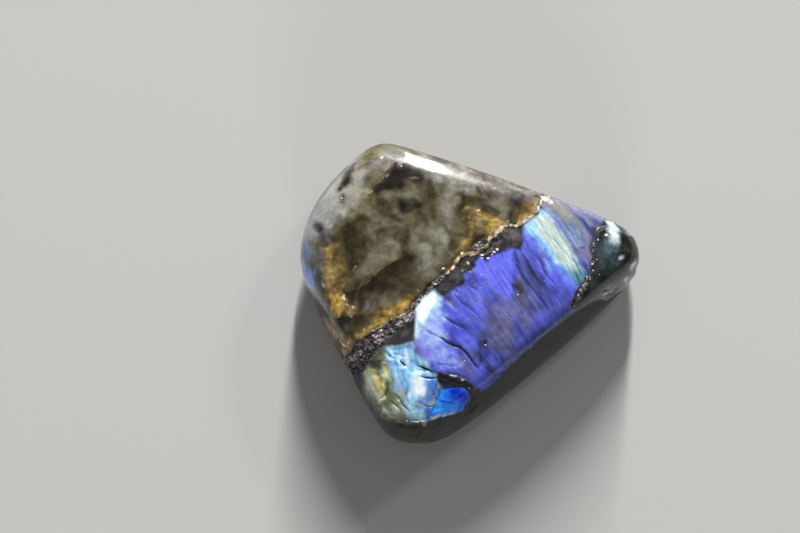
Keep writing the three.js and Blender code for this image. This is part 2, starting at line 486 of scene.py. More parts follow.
height_above_flat = skin_points[:, 2] + HEART_HEIGHT
rough = lumps(skin_points, 0.8, 43, 2)
worn = WAVE * (1 + lumps(skin_points, 9, 41, 2)).clip(0, 2)
trough = (TROUGH + TROUGH_ROUGHNESS * rough).clip(0.05, 1)
shallower_at_nose = 1 - 0.8 * spot(23.7, 11.4, 1.2, 1.2)
worn += fade(vein_depth, -0.15, 0.3) * trough * shallower_at_nose
worn += PIT * spot(-20.6, -14.4, 1.6, 1.1, 1, -50, 0.8)
worn += CRACK * fade(crack_depth, -0.16, 0.08)
for flake_depth, outline in FLAKED.values():
    worn += flake_depth * area(outline, 1, 0.18)
for across, up, size in NOSE_CHIPS:
    worn += CHIP * spot(across, up, size, size * 0.7, 1, 0, 0.6)
worn *= fade(height_above_flat, 0, 2.5) * ~on_flat  # the flat and its edge stay whole
stone_points = skin_points - skin_ways * worn[:, None]
print("deepest worn place is", round(worn.max(), 2), "mm")

# %% [markdown]
# ## Minerals in the polished skin
#
# Above the main vein the feldspar is cloudy: milky patches, olive and brown stains, yellow iron
# stain along every fracture, and a sooty patch of dark mineral. Below it lies one clean crystal
# that flashes blue, with a cyan and pale green band towards the nose and a white flare beside the
# vein. Each mineral below gets a cover from 0 to 1, drawn with the three brushes. The flash needs
# the polish to face up, so it stops at the sides.

# %% Covers of the cloudy half
CLOUDY_HALF = [
    (-24, -12.6), (-21.8, -10.6), (-19.8, -8.5), (-17, -6.6), (-14.7, -5), (-12, -3.6),
    (-10.1, -1.4), (-8.2, 0.7), (-5.6, 3.2), (-3.4, 5), (-1.5, 7), (1.6, 7.6), (3.4, 9.6),
    (5.4, 11.2), (7, 13), (9.4, 12.2), (10.4, 13.1), (11.4, 14.2), (12.3, 15.6),
    (13, 17.6), (14.5, 24), (-20, 42), (-48, 20), (-48, -13),
]
cover = {"cloudy": area(CLOUDY_HALF, 1, 0.35)}


def report(*minerals):
    """Prints how much of the skin each mineral takes, in percent."""
    for mineral in minerals:
        print(mineral, round(100 * float(np.clip(cover[mineral], 0, 1).mean()), 1), "%")


report("cloudy")

# %% [markdown]
# ### Milk, chalk, rose and painted sheen
#
# Where the feldspar has broken down to clay it scatters light of every colour. Thin clouds of it
# look like milk and thick ones like chalk, and a trace of iron turns them rose. The same glazes
# also carry painted sheen: the pale band of the rounded left flank, and a painted highlight halo
# along the back rim beside the lamp's real highlight.

# %% Milk, chalk, rose and painted sheen
cover["chalk_and_sheen"] = together(
    # The outline on the left flank is painted sheen, the pale band where the rounded flank faces
    # the light.
    area([(-31, 9.6), (-29.5, 14), (-26, 19), (-22.5, 23), (-19.6, 24.4), (-18.6, 21.6),
          (-18.6, 18.6), (-19.6, 16), (-21.8, 14), (-24, 12.2), (-26.4, 11),
          (-28.2, 9.6)], 0.88, 1.2),
    *spots(
        (-8, 6.4, 1, 2.2, 0.4, 0, 0.9), (-4, 15, 1, 2.2, 0.2, 0, 0.9),
        (-17, 22.2, 1.2, 0.7, 0.55, 30, 0.8), (-5.2, 10, 1.4, 1.2, 0.2, 0, 0.9),
        (-14.2, 23.4, 0.9, 2.4, 0.7, -38, 0.8), (-16.8, 23, 1.8, 0.8, 0.4, 20, 0.8),
    ),
    # These three strokes and the three spots below them are a painted highlight halo on the back
    # rim.
    stroke([(-8, 23.6), (-4, 22), (0, 20.7), (3, 19.8)], 0.9, 0.3, 0.9),
    stroke([(-11, 25), (-6, 23.5), (-1, 22)], 0.4, 0.6, 0.6),
    stroke([(5, 19.9), (8, 18.8), (12.4, 17.4)], 0.35, 0.7, 0.5),
    *spots(
        (-1.4, 19.2, 1.3, 0.7, 0.6, -15, 0.8), (-5.8, 20.8, 1.8, 0.8, 0.55, -10, 0.8),
        (-4, 18.6, 0.6, 1.4, 0.3, 0, 0.9),
    ),
)
cover["milk_and_rim_sheen"] = together(
    spot(-2.3, 13, 0.8, 0.9, 0.7), spot(-2.5, 17, 0.9, 1.4, 0.7),
    area([(-10.4, 9.8), (-9, 11), (-6, 12.4), (-3, 11.2), (-1.8, 9.6), (-3, 7.6), (-4.6, 6),
          (-6.2, 4.2), (-7.9, 2.8), (-9.4, 3.4), (-10.3, 5.5)], 0.9, 1.9),
    *spots(
        (-8, 8, 1.2, 1.6, 0.5), (-5.4, 9.8, 1.6, 1.2, 0.3), (-15.5, 13.9, 2.6, 1.5, 0.45),
        (-15.6, 9.2, 3, 2.4, 0.5), (-16.8, 5.6, 4.2, 1.2, 0.65, 36), (-12, 12.6, 1.5, 1.5, 0.6),
        (-4.4, 14.6, 1.8, 3.4, 0.6), (-7.8, 18.8, 2.2, 1.2, 0.5), (-12.8, 17.4, 2.6, 0.7, 0.4),
        (-18.4, -2, 1.4, 1.3, 0.45), (-14, 6.9, 1.6, 1.4, 0.5, 30), (5.2, 16.2, 2.6, 1, 0.5, -18),
        (-3.2, 18.6, 0.8, 2.6, 0.9), (-1.4, 12.4, 1.2, 0.9, 0.4), (-14.4, 24, 1.6, 2, 0.7, 40),
        (-27.6, 9.6, 1, 1.4, 0.7), (-27.2, 5.8, 0.8, 2.6, 0.6), (-14.4, -1.4, 2.2, 1.2, 0.6, 30),
        # The long spot at (-0.6, 20.4) is painted sheen below the back rim's highlight.
        (-17.2, 12, 1, 2, 0.4), (-10.4, 17.6, 1.6, 0.7, 0.5), (-0.6, 20.4, 3.4, 0.9, 0.7, -18),
        (-7.2, 4.1, 1.8, 1, 0.5, 42, 0.9),
    ),
)
cover["rose_and_rim_sheen"] = together(
    # The back rim stroke and the first three spots below it are painted sheen beside the
    # highlight.
    stroke([(-3, 22.6), (0, 21.4), (4, 20), (8, 18.7), (12, 17.4)], 1.2, 0.6, 1),
    *spots(
        (1.6, 19.4, 1.2, 0.7, 0.6, -30), (-0.2, 18.2, 1.3, 0.6, 0.6),
        (5.6, 17.4, 1.6, 0.8, 0.5, -20), (6, 15, 1.4, 0.8, 0.5), (3, 16.6, 1.2, 0.7, 0.4, -30),
        (1, 12.6, 1.2, 0.8, 0.45), (10.4, 16.6, 1, 0.8, 0.4), (-16.6, 8.6, 2, 1.6, 0.3),
        (-18, -1.6, 1.8, 1.6, 0.5, 0, 0.9), (6, 14.2, 1, 1, 0.6),
    ),
    stroke([(-26.4, 8.2), (-26.2, 4.4), (-26.5, 1.4)], 0.3, 0.7),
    stroke([(-25.8, 6.6), (-25.6, 4.4)], 0.2, 0.6), spot(-20.6, 16, 1.6, 1, 0.5, 30, 0.8),
)
report("chalk_and_sheen", "milk_and_rim_sheen", "rose_and_rim_sheen")

# %% [markdown]
# ### Olive, umber, painted shade and straw
#
# Clear feldspar that doesn't flash looks down into the dark stone, so it is olive. One facet in
# the middle faces away from the lamps, and its shade is painted into the umber glaze: nearly
# black brown, darkest along its upper edge. Elsewhere umber is a brown stain. Straw is where the
# stain lies close under the polish.

# %% Olive, umber, painted shade and straw
cover["olive"] = together(
    area([(-25.4, 9), (-23.8, 11), (-22.4, 12.4), (-20.5, 13.7), (-18.8, 14.2), (-17.6, 13),
          (-18.2, 10.5), (-18.3, 7.6), (-19.2, 5.4), (-20.3, 3), (-20.5, 0), (-21, -2.6),
          (-22.7, -0.2), (-23.6, 3), (-24.6, 6)], 0.7, 0.8),
    *spots(
        (-20, 9.4, 1.3, 2.4, 0.9), (-20.9, 6.4, 1, 1.4, 0.6), (-22.3, 9.2, 1, 1.4, 0.5),
        (-11.6, 9.8, 0.8, 1.6, 0.9), (-11.3, 6.4, 1.2, 0.9, 0.95),
        (-13.2, 13.4, 1.2, 0.5, 0.9, -40), (-15.2, 11.3, 1.7, 0.5, 0.5, 18),
        (-9.6, 15.4, 1.6, 0.5, 0.9, 25), (-9, 20.4, 1.1, 1.2, 0.9), (-6.9, 17, 0.6, 3.4, 0.85, 4),
        (-16.4, 15.9, 1.8, 0.35, 0.6, 8), (-18.2, 16.8, 0.5, 1.2, 0.7), (-1.2, 15, 1, 1.4, 0.95),
        (-0.4, 13, 0.9, 1.6, 0.9), (0.4, 17.2, 2.2, 0.45, 0.9, -6), (3, 18.2, 1.9, 0.35, 0.8, -50),
        (-1.2, 17.6, 0.35, 1, 0.5), (3.6, 15.4, 1.8, 0.3, 0.9, -28), (-1.6, 11.2, 1.1, 1.3, 0.85),
        (-2.6, 8.8, 1.2, 1, 0.8), (-4.8, 18.6, 1, 0.8, 0.6), (-6.4, 14.2, 0.5, 1.4, 0.7, 8),
        (-8.2, 13.4, 0.5, 1.4, 0.5, 30), (-9.6, 12.6, 0.4, 1, 0.5, -20),
        (-21.6, -6.2, 2.4, 1.2, 0.9), (-19.4, -4.9, 1.7, 0.9, 0.95, 20),
        (-20.2, 12.4, 2.4, 0.7, 0.5, 20), (-16.2, 26, 1.6, 0.4, 0.6),
        (-19.5, 22.3, 1.6, 0.4, 0.45, 20), (-21.9, 20.4, 0.8, 1.7, 0.7, -28),
        (-22.8, 19.4, 0.5, 0.8, 0.5, -30), (-21.4, 20.6, 0.8, 0.9, 0.45),
        (-17.6, 9, 0.6, 1.4, 0.4, 20), (-13.2, 10.4, 0.6, 0.9, 0.5, -20),
    ),
    stroke([(-5.4, 12.8), (-3.6, 10.8), (-2.8, 9)], 0.25, 0.6, 0.4),
    *spots((1.6, 18.6, 0.3, 1, 1, 30), (8.6, 15.6, 1, 1, 0.7), (1.6, 16.2, 1.6, 0.25, 0.7, -25)),
    stroke([(-24.2, 10.2), (-21.6, 12.2), (-19.4, 13.4)], 0.35, 0.6, 0.4),
)
EDGE_OF_FACET = [(-19.8, 1), (-17.8, 2.7), (-15.4, 4.5), (-12, 6.6)]
# The facet's darkness is painted shade, for a face turned away from the lamps.
shaded_facet = area([(-20.2, 1.5), (-18.2, 3.3), (-15.8, 5.2), (-12.2, 7.3), (-10.2, 6.6), (-10.2, 2.6),
              (-9.2, 1.4), (-10.6, -0.4), (-13.6, -0.8), (-17, 0), (-18.6, 0),
              (-19.6, -3), (-20.8, -1)], 1, 1.1)
shaded_facet *= area(EDGE_OF_FACET + [(-8, 8.6), (-6, -6), (-23, -6), (-22.6, -2)], 1, 0.2)
facet_away = along_line(EDGE_OF_FACET, true_map)[0]
cover["umber_and_shade"] = together(
    shaded_facet * (1.0 - 0.45 * fade(facet_away, 0.8, 4)), spot(-16.2, 1.6, 1, 0.8, 0.7),
    spot(-19.6, -1.6, 0.6, 1.8, 0.7),
    area([(6.8, 13.2), (8, 12.8), (10, 13.1), (11.4, 14.4), (12.2, 16.4), (11, 17.6), (8.2, 18.4),
          (6.6, 17.4), (6.4, 15)], 0.5, 0.9),
    *spots(
        (4.4, 18.2, 1.2, 0.7, 0.6, -30), (2.6, 15, 1, 0.5, 0.5, -28), (-23.6, -5.6, 1, 1, 0.8),
        (4.3, 19, 1.1, 0.9, 0.75, -20, 0.8), (8.4, 17.2, 0.9, 0.7, 0.5, 0, 0.8),
    ),
)
cover["straw"] = together(
    *spots(
        (-1.8, 11, 1.1, 2.4, 0.5, 0, 0.9), (-18.8, 24, 2.2, 1, 0.65, 42, 0.7),
        (-16.2, 25.6, 2, 1, 0.75, 0, 0.6),
    ),
    stroke([(-20.6, 21.4), (-18.6, 21.9), (-17, 21.4)], 0.45, 0.35, 0.6),
    stroke([(-18.6, 18.4), (-17.6, 20), (-16.2, 21.4), (-15, 22.6)], 0.6, 0.75, 0.7),
    *spots(
        (-18.6, 16.8, 0.5, 1.6, 0.5), (-21, 17, 1.2, 2, 0.45, 0, 0.8),
        (-13.8, 24.8, 1.6, 0.7, 0.7, -20), (-19.8, 14.4, 2.6, 0.6, 0.5, 30, 0.8),
        (-21.4, -3.2, 0.8, 0.5, 0.6), (-24.6, 8.2, 1.4, 0.35, 0.7, 30),
        (1, 13.4, 0.8, 0.4, 0.5, -20), (5, 12, 0.9, 0.5, 0.7, 40),
        (11.6, 15.6, 0.4, 1.2, 0.7, -30), (-25.4, 5.6, 0.4, 2, 0.5),
    ),
)
report("olive", "umber_and_shade", "straw")

# %% [markdown]
# ### Amber, mauve, soot and rust
#
# Water carried iron along every fracture, and left it as amber beside the veins and as rust on the
# far shoulder. A dark mineral grew there too, in a sooty patch with soft borders. Small mauve
# places show on the left rim, where a little flash comes through the cloud.

# %% Amber, mauve, soot and rust
patches = (0.88 + 0.6 * lumps(skin_points, 1.7, 53, 4)).clip(0.3, 1)
gold_patch = area([(-26.1, -0.6), (-24.6, -0.2), (-23.2, -0.3), (-22.6, -1.2), (-22.6, -3.4),
                   (-23.8, -4), (-25, -3.7), (-25.8, -2.2)], 1, 0.3)
cover["amber"] = together(
    gold_patch,
    patches * together(
        area([(-25.8, 8.6), (-23.8, 8.6), (-22.9, 6.4), (-22.4, 3), (-22.4, 0.2), (-23.4, -0.2),
              (-26, 0.6), (-25.4, 4)], 0.26, 1.2),
        stroke([(-25, 8.4), (-25, 5.4), (-25.3, 2.6), (-25.5, 0.8)], 0.5, 0.5, 0.8),
        stroke(EDGE_OF_FACET, 0.06, 0.4, 0.2),
        stroke([(-20.4, -7.8), (-17.8, -6.5), (-16.2, -5.6), (-14.4, -4.5),
                (-12.2, -3.3)], 0.4, 0.9, 0.45),
        stroke([(-16.4, -4.9), (-14, -3.2), (-11.2, -1.4)], 0.8, 0.9, 1.1),
        stroke([(-25.4, -5), (-24.3, -7), (-22.4, -9), (-22.2, -11)], 0.8, 0.9, 0.7),
        spot(-21.4, -3, 1, 0.8, 0.5, 0, 0.7), spot(-16.6, -3.4, 1.6, 0.8, 0.3, 30, 0.8),
        stroke([(-0.6, 15.2), (1, 14.5), (3, 13.6), (5.6, 12.7)], 0.45, 0.6, 0.7),
        spot(3.9, 11.6, 1.4, 1, 0.75, 42, 0.7), spot(1.2, 12.4, 1.8, 1.2, 0.3, 0, 0.9),
        stroke([(-3.2, 6.8), (-2, 8), (-0.6, 9.4)], 0.3, 0.5, 0.6),
        spot(4.8, 12.6, 1.4, 0.6, 0.7, -10, 0.7),
        stroke([(-0.8, 8.2), (0.2, 9.6), (0.6, 11.6), (-0.4, 13.6)], 0.4, 0.35, 0.7),
        stroke([(9, 12.7), (10.8, 13.9), (12.2, 16.4)], 0.5, 0.65, 0.8),
        spot(9.6, 14.6, 1.6, 1.2, 0.2, 40, 0.8),
        stroke([(-4.4, 3.6), (-2.6, 5.9), (-1, 7.5)], 0.25, 0.6, 0.4),
    ),
)
cover["mauve"] = together(
    *spots(
        (-26, 10.4, 1.1, 1.7, 0.8, 20, 0.8), (-26, 6.8, 0.3, 0.9, 0.6),
        (-25.7, 2.1, 0.4, 0.5, 0.8), (-25.2, 6, 0.35, 0.3, 0.4), (-22.6, -6.2, 0.7, 0.8, 0.3),
        (8.3, 17, 0.7, 0.5, 0.25), (4.6, 18.6, 0.9, 0.7, 0.15), (-26.4, 0.8, 0.5, 0.3, 0.4),
    ),
)
cover["soot"] = together(
    area([(-18.1, 17.7), (-17.2, 18.7), (-16.2, 19.6), (-14.9, 21.1), (-13.6, 22.5), (-12.6, 24),
          (-11.9, 23.4), (-11.9, 21.6), (-12.4, 20.2), (-12.6, 18.8), (-14.6, 18.4),
          (-16.2, 18.1)], 0.95, 0.4),
    (1.0 + 0.6 * lumps(skin_points, 1.3, 55, 3)).clip(0.5, 1) * area([(-13, 23.8), (-11.2, 23.2),
        (-9.8, 22.4), (-8.4, 21.9), (-8, 20.6), (-10, 20), (-11.6, 19.3), (-13, 18.8)], 0.95, 0.5),
    *spots(
        (-26.2, 10.2, 0.7, 1, 0.5, 0, 0.8), (-10, 20.2, 1.2, 0.6, 0.5, 10, 0.8),
        (-14.6, 18.9, 1.4, 0.6, 1, 8), (-11.9, 15.6, 0.8, 1), (-27.1, 11.8, 0.9, 0.9),
        (-22.7, 17.1, 0.5, 0.7, 0.8), (-22.7, 16.2, 0.7, 0.2, 0.7), (-23.4, 18.7, 0.4, 0.4, 0.9),
        (-22.3, 20.5, 0.8, 2, 0.95, -28),
    ),
    stroke([(7.1, 17.6), (7.3, 16.6), (8.3, 16.2), (9.2, 16.9), (9.6, 17.6)], 0.25, 0.55),
    stroke([(7.4, 17.9), (8.6, 18)], 0.25, 0.6), stroke([(7.3, 14.4), (7.4, 12.8)], 0.2, 0.9),
    stroke([(7.9, 16), (9.4, 17.4)], 0.15, 0.7), spot(11.8, 17.4, 0.6, 0.3, 0.7),
    stroke([(-28.1, 4.5), (-27.6, 2.2), (-27.2, 0.4), (-26.2, -1.2), (-25.2, -4)], 0.5, 1, 0.4),
    stroke([(-25.4, -4.2), (-23.8, -4.6), (-22.2, -4.4)], 0.22, 0.8), spot(-23.8, -5.6, 0.5, 0.6),
    spot(2.2, 10.2, 1, 0.55, 0.9, 25), stroke([(0.6, 9.1), (2, 10)], 0.15, 0.8),
    spot(-9.4, 15.9, 0.5, 0.3, 0.7), spot(-11.3, 6.8, 0.6, 0.4, 0.5),
)
cover["rust"] = together(
    *spots(
        (-14.6, 21.4, 1, 0.35, 0.8, 45), (-15.8, 20.1, 0.9, 0.3, 0.6, 30),
        (-12.4, 23.4, 0.4, 0.8, 0.7), (-9.8, 20.6, 1, 0.2, 0.15, 15),
    ),
    stroke([(-17.2, 18.8), (-15.9, 20.1), (-14.5, 21.5), (-13.4, 23.1),
            (-12.6, 24.2)], 0.26, 0.8, 0.4),
    spot(4.4, 19, 3.6, 0.5, 0.3, -18, 0.7),
)
report("amber", "mauve", "soot", "rust")

# %% [markdown]
# ### Wisps and the sides
#
# The milk is drawn out in wisps, with olive between them. The stains lie in the face, so they are
# weaker round the sides, and underneath the cloudy half has broad patches of milk and olive
# instead. One short piece of the far edge has lost its polish.

# %% Wisps and the sides
SIDE_SHARE = 0.25  # how much of a stain is left where the skin turns away from the map
UNDERNEATH = 0.8  # strength of the patches there
wisps = lumps(skin_points * (1, 0.5, 1), 1.1, 54, 3)  # long up the map, like drawn smoke
cover["milk_and_rim_sheen"] = cover["milk_and_rim_sheen"] * (0.98 + 0.3 * wisps).clip(0.3, 1.1)
cover["olive"] = together(cover["olive"] * (0.95 - 0.3 * wisps).clip(0.3, 1.1),
                          0.35 * cover["cloudy"] * fade(-wisps, 0.25, 0.7))
on_top = SIDE_SHARE + (1 - SIDE_SHARE) * fade(facing_map, -0.02, 0.15)
cover["dull_edge"] = stroke([(-17.4, 27), (-14.4, 25.9), (-12.3, 25.1)], 1.1, 1, 1)
for mineral in [name for name in cover if name != "cloudy"]:
    cover[mineral] = cover[mineral] * on_top
patchy = 0.5 + 0.5 * lumps(skin_points, 4, 51, 4)
hidden_stain = UNDERNEATH * hidden * cover["cloudy"]
cover["milk_and_rim_sheen"] = together(cover["milk_and_rim_sheen"], hidden_stain * fade(patchy, 0.5, 0.8))
cover["olive"] = together(cover["olive"], hidden_stain * fade(patchy, 0.5, 0.2))
report("milk_and_rim_sheen", "olive", "dull_edge")

# %% [markdown]
# ### Crust
#
# A pale iron crust lines the veins and a few small fractures beside them. It is broken up finely,
# so each line below only says where its middle runs and how wide it is.

# %% Crust
CRUST_LINES = {  # half width in mm, then the points
    "middle": (0.13, [(-8.4, -0.1), (-7.2, 1.1), (-5.9, 2.3), (-4.7, 3.4)]),
    "main": (0.36, [(-4.6, 3.5), (-4, 3.9), (-3.1, 4.8), (-2.5, 5.7), (-1.7, 6.6), (-1, 7.1),
                    (0.2, 7.2), (1.3, 7.3), (2.2, 7.9), (3, 8.5), (3.5, 9.2), (3.4, 9.8)]),
    "wide": (0.55, [(3.2, 9.7), (4.2, 10.4), (4.9, 10.9), (5.5, 11.6), (6.2, 12.4), (7.2, 13.2)]),
    "right": (0.3, [(6.2, 12.5), (7.6, 12.1), (8.6, 12.1), (9.5, 12.5), (10.3, 13.2), (11, 13.9),
                     (11.8, 14.8), (12.3, 15.6), (12.7, 16.6), (13.3, 17.3), (14, 17.4)]),
    "left": (0.24, [(-20.2, -8.6), (-19.6, -8), (-18.2, -7.1), (-16.8, -6.5), (-15.6, -5.8),
                    (-14.6, -4.9), (-13.2, -4.3), (-12, -3.8), (-11, -2.9), (-10, -1.6)]),
    "patch top": (0.4, [(-26.4, 1.4), (-25.6, 0.5), (-24.4, 0.2), (-23.2, 0), (-22.4, -1.2),
                         (-22, -2.4), (-21.4, -3.8), (-20.8, -4.6)]),
    "patch spur": (0.38, [(-22.2, -2), (-21.2, -2.4), (-20.4, -3)]),
    "patch side": (0.24, [(-26.2, 0), (-25.8, -1.6), (-25, -2.8)]),
    "low rim": (0.5, [(-25.6, -4.8), (-25, -6.2), (-24, -7.4), (-23, -8.3), (-21.7, -8.9)]),
    "low left": (0.6, [(-22.8, -8.6), (-22.4, -9.8), (-22.5, -11.4)]),
    "back rim": (0.45, [(12.6, 17.2), (13.4, 16.9), (14.8, 16.4)]),
    "fringe": (0.2, [(-1.2, 4), (-0.2, 3.8), (0.9, 4.2)]),
    "fringe side": (0.18, [(-0.4, 5.8), (0.3, 4.4)]), "fan": (0.16, [(1.2, 15), (2.2, 14.8)]),
    "blade": (0.12, [(-4.2, -14.5), (-2.4, -14.9), (-0.6, -15.6)]),
    "dot": (0.2, [(-19.3, -6.5), (-18.7, -6.7)]), "corner": (0.4, [(-16.3, 24.5), (-15.3, 24.5)]),
    "high": (0.2, [(-19.9, 6.2), (-19.7, 5.5)]), "high low": (0.2, [(-21, 3.8), (-20.4, 4.9)]),
    "vein dot": (0.2, [(-9.6, 0.5), (-9.2, 0.5)]), "blue dot": (0.2, [(-5.1, 4.4), (-4.6, 4.5)]),
    "soot dot": (0.3, [(-17.9, 18.1), (-17.3, 18.3)]),
    "pale": (0.2, [(-23, 17.2), (-22.8, 16.8)]),
}
crumbs = lumps(skin_points, 0.6, 52, 2)
crust_depth = np.max([line_depth(p, w) for w, p in CRUST_LINES.values()], 0) + 0.18 * crumbs
cover["crust"] = crust_depth + 0.46  # a half would put its edge at depth 0, this a little inside
print(len(CRUST_LINES), "crust lines")

# %% [markdown]
# ## Covers of the flashing half
#
# The lamellae are all parallel, so one crystal lights up as a whole, and its colour only changes
# where the sheets grow thicker or thinner: violet blue in the middle, then cyan, pale green and
# pearl towards the nose. Small misfits between the sheets draw the fine slanting streaks. The
# flash is painted on as a colour, so it stays put when the stone turns, which a real one doesn't,
# and looks the same from every side.

# %% Covers of the flashing half
VEIL_STRENGTH, BANDING_STRENGTH = 0.4, 0.9
# Lumps worked out in the lamellae's own space, and squeezed along them, come out as streaks.
streaks = lumps(lamella * (0.16, 1, 0.4), 1.5, 61, 4)
broad_streaks = lumps(lamella * (0.16, 0.6, 0.4), 2.2, 62, 3)
FLASH = [
    (-6.3, 0.3), (-5.2, -0.7), (-4.3, -0.3), (-3.2, 1), (-1.9, 1.3), (-0.8, 1.9), (-1.1, 3.4),
    (0.1, 4.2), (0.9, 4.5), (1, 5.6), (1.9, 6.4), (2.8, 5.8), (3.8, 5.6), (4.4, 6.6),
    (5.6, 7.4), (7, 7.8), (8.6, 7.9), (9.6, 9.6), (9.8, 11.8), (11.2, 13), (12.2, 14.4),
    (13.4, 16), (15.2, 18.5), (24.6, 15), (23.4, 11.4), (22, 9), (21.9, 6.2),
    (21.2, 3.8), (20.2, 1.4), (19, -1), (17.6, -3.4), (16, -5), (13.4, -7.2),
    (11.4, -8.9), (9.2, -11.2), (7.2, -13.2), (5, -15.2), (3.2, -17), (1.8, -17.5),
    (0.4, -16.4), (-0.8, -15.4), (-3, -14.9), (-5, -14.2), (-6.8, -14.4), (-9.5, -12),
    (-10.3, -8.6), (-9.9, -5), (-9.7, -2.6), (-8.4, -0.8),
]
flash_depth = depth_inside(FLASH, bent_map)
fringe = lumps(skin_points, 0.9, 64, 3)
flash = fade(flash_depth + 0.35 * streaks + 0.3 * fringe, -0.25, 0.45) * seen
cover["blue"] = flash
veil = fade(lumps(skin_points * (1, 1, 0.5), 5, 65, 4), 0, 0.6)
cover["veil"] = VEIL_STRENGTH * flash * veil
right_side = area([(3, 5), (6.4, 7), (9.4, 9.4), (14, 7), (20.6, 1.6), (18, -3),
                   (13, -3.4), (9, -1), (5, 2)], 1, 1.6)
banding = lumps(lamella * (0.06, 1.1, 0.3), 1.5, 63, 3)
cover["banding"] = flash * right_side * BANDING_STRENGTH * fade(banding, 0.05, 0.5)
report("blue", "veil", "banding")

# %% [markdown]
# ### Bright blue and indigo
#
# The flash is brightest along its upper edge, and in long streaks towards the nose. At the front
# it deepens to indigo.

# %% Bright blue and indigo
cover["bright_blue"] = flash * together(
    area([(0.6, 4.3), (1.2, 5.6), (2, 6.4), (3, 5.8), (4.2, 6.6), (5.8, 7.4), (7.4, 7.8), (7.7, 5),
          (7.5, 3), (7.3, 1.4), (7.9, -0.3), (7, -1.3), (5.6, -1.1), (4.6, -0.2), (3.4, 1.2),
          (2.2, 2.4), (1.4, 3.4)], 0.85, 0.35),
    area([(-4.4, -0.6), (-2.6, 1), (-0.8, 1.8), (0.2, 0.9), (1.4, 0.1), (2.4, -1.2), (2.9, -3),
          (2.2, -4.2), (0.4, -3.2), (-1.2, -2.2), (-2.4, -1)], 0.6, 0.4),
    area([(-3, -2.6), (-0.8, -3), (1.6, -4.4), (2, -6.5), (1, -8.6), (-0.6, -9), (-2.6, -8.2),
          (-0.4, -6.5), (-2.4, -5.4), (-4.2, -4.2)], 0.35, 0.6),
    *spots(
        (12.6, 5.2, 5, 0.6, 0.75, -48), (15.6, 1.8, 3.4, 0.6, 0.7, -48),
        (9, 7.2, 2.2, 0.5, 0.6, -55), (10.2, 9.8, 2, 0.7, 0.7, -48),
        (17.2, -0.6, 2, 0.9, 0.6, -48), (12.4, -0.6, 3, 0.5, 0.5, -48),
        (4.6, -12.6, 2, 0.6, 0.55, -58), (9, 4.4, 1.6, 0.3, 0.5, -55),
    ),
) * (0.9 + 0.4 * broad_streaks).clip(0.3, 1)
cover["indigo"] = flash * together(
    area([(8.5, -3.5), (12, -1), (15, -4), (11.6, -8), (8.8, -9.8), (8, -6.5)], 0.85, 0.9),
    spot(15.2, -1, 2.4, 1.2, 0.6, -48),
    area([(1.4, -9), (4, -9.6), (7, -10.6), (4.4, -13.6), (3.2, -15.6), (1.6, -13.6)], 0.6, 0.8),
    *spots(
        (13.4, -2.8, 3.4, 1, 0.5, -48), (18, -0.2, 1.8, 1, 0.75, -48, 0.8),
        (-1.8, -13.6, 1.8, 0.6, 0.4, -10),
    ),
)
report("bright_blue", "indigo")

# %% [markdown]
# ### Slate, night and lavender
#
# The middle is weaker, so the grey of the stone shows through as slate, smudged here and there.
# Narrow night streaks run along the lamellae where a packet of them doesn't flash at all, and
# beside the white flare the blue turns lavender. The night glaze also paints shade along the
# front right edge, where the polish rolls over into the side.

# %% Slate, night and lavender
cover["slate"] = flash * together(
    area([(3, -1.6), (4.8, -1.3), (6.5, -1.9), (8.2, -1.2), (9.4, -2.4), (8.8, -5), (8, -7.2),
          (6.4, -9), (3.8, -9.2), (2.4, -7.6), (2.8, -5)], 0.95, 1.5),
    *spots(
        (1.2, -6.6, 1, 1.8, 0.2, 0, 0.9), (7, -9, 1.6, 1.6, 0.6, 0, 0.9),
        (9.2, -1.2, 1.5, 1.2, 0.85, 0, 0.8), (7.2, -3, 1.4, 1.2, 0.7, 0, 0.8),
        (5.2, -9.2, 1.6, 1, 0.8, 0, 0.8), (1, -11, 0.9, 1.2, 0.75, 0, 0.8),
        (10.2, -4.2, 1, 1.4, 0.7, 0, 0.8), (10.8, 1, 1, 1.6, 0.6, -40, 0.7),
        (3, -8.2, 1.4, 1.4, 0.7, 0, 0.8), (6.6, -10.6, 2, 1.4, 0.5, -30, 0.9),
    ),
    area([(-1.4, -10.4), (0.6, -12.8), (1.8, -14.8), (0.6, -15.6), (-1.4, -13.6),
          (-2.4, -11.4)], 0.75, 0.6),
    stroke([(9.4, 0.8), (11.2, -1.4), (13, -3.8)], 0.4, 0.7, 0.3, 1),
    stroke([(2.4, 2.6), (3.5, 1.1), (4.6, -0.3), (6.2, -1.6)], 0.22, 0.9, 0.2),
    stroke([(1.6, 0.3), (2.6, -0.8), (3.4, -2.2)], 0.2, 0.6), spot(-3.6, -1.4, 1.6, 0.7, 0.7, -45),
    stroke([(11.8, 8.4), (13.6, 6.2), (15.6, 3.6)], 0.12, 0.6, 0.15, 1),
    stroke([(4.4, 5.4), (5.8, 3.2), (6.8, 1.4)], 0.08, 0.5, 0.12, 1),
    stroke([(5.9, 6.6), (6.8, 5), (7.5, 3.4)], 0.08, 0.5, 0.12, 1),
    stroke([(8.4, -2.6), (9.8, -4.8), (10.8, -6.8)], 0.3, 0.6, 0.3, 1),
    spot(9.6, 2, 1.2, 1.2, 0.5, -50), spot(9.4, -1.6, 1.6, 0.8, 0.7, -50),
) * (0.98 + 0.2 * streaks).clip(0.6, 1)
smudges = 0.45 * flash * fade(lumps(skin_points, 1.8, 66, 3), 0.2, 0.6)
cover["slate"] = together(
    cover["slate"],
    smudges * area([(-4, -1), (2, 2), (9, 2), (14, -4), (6, -13), (0, -15), (-1, -8)], 1, 2),
)
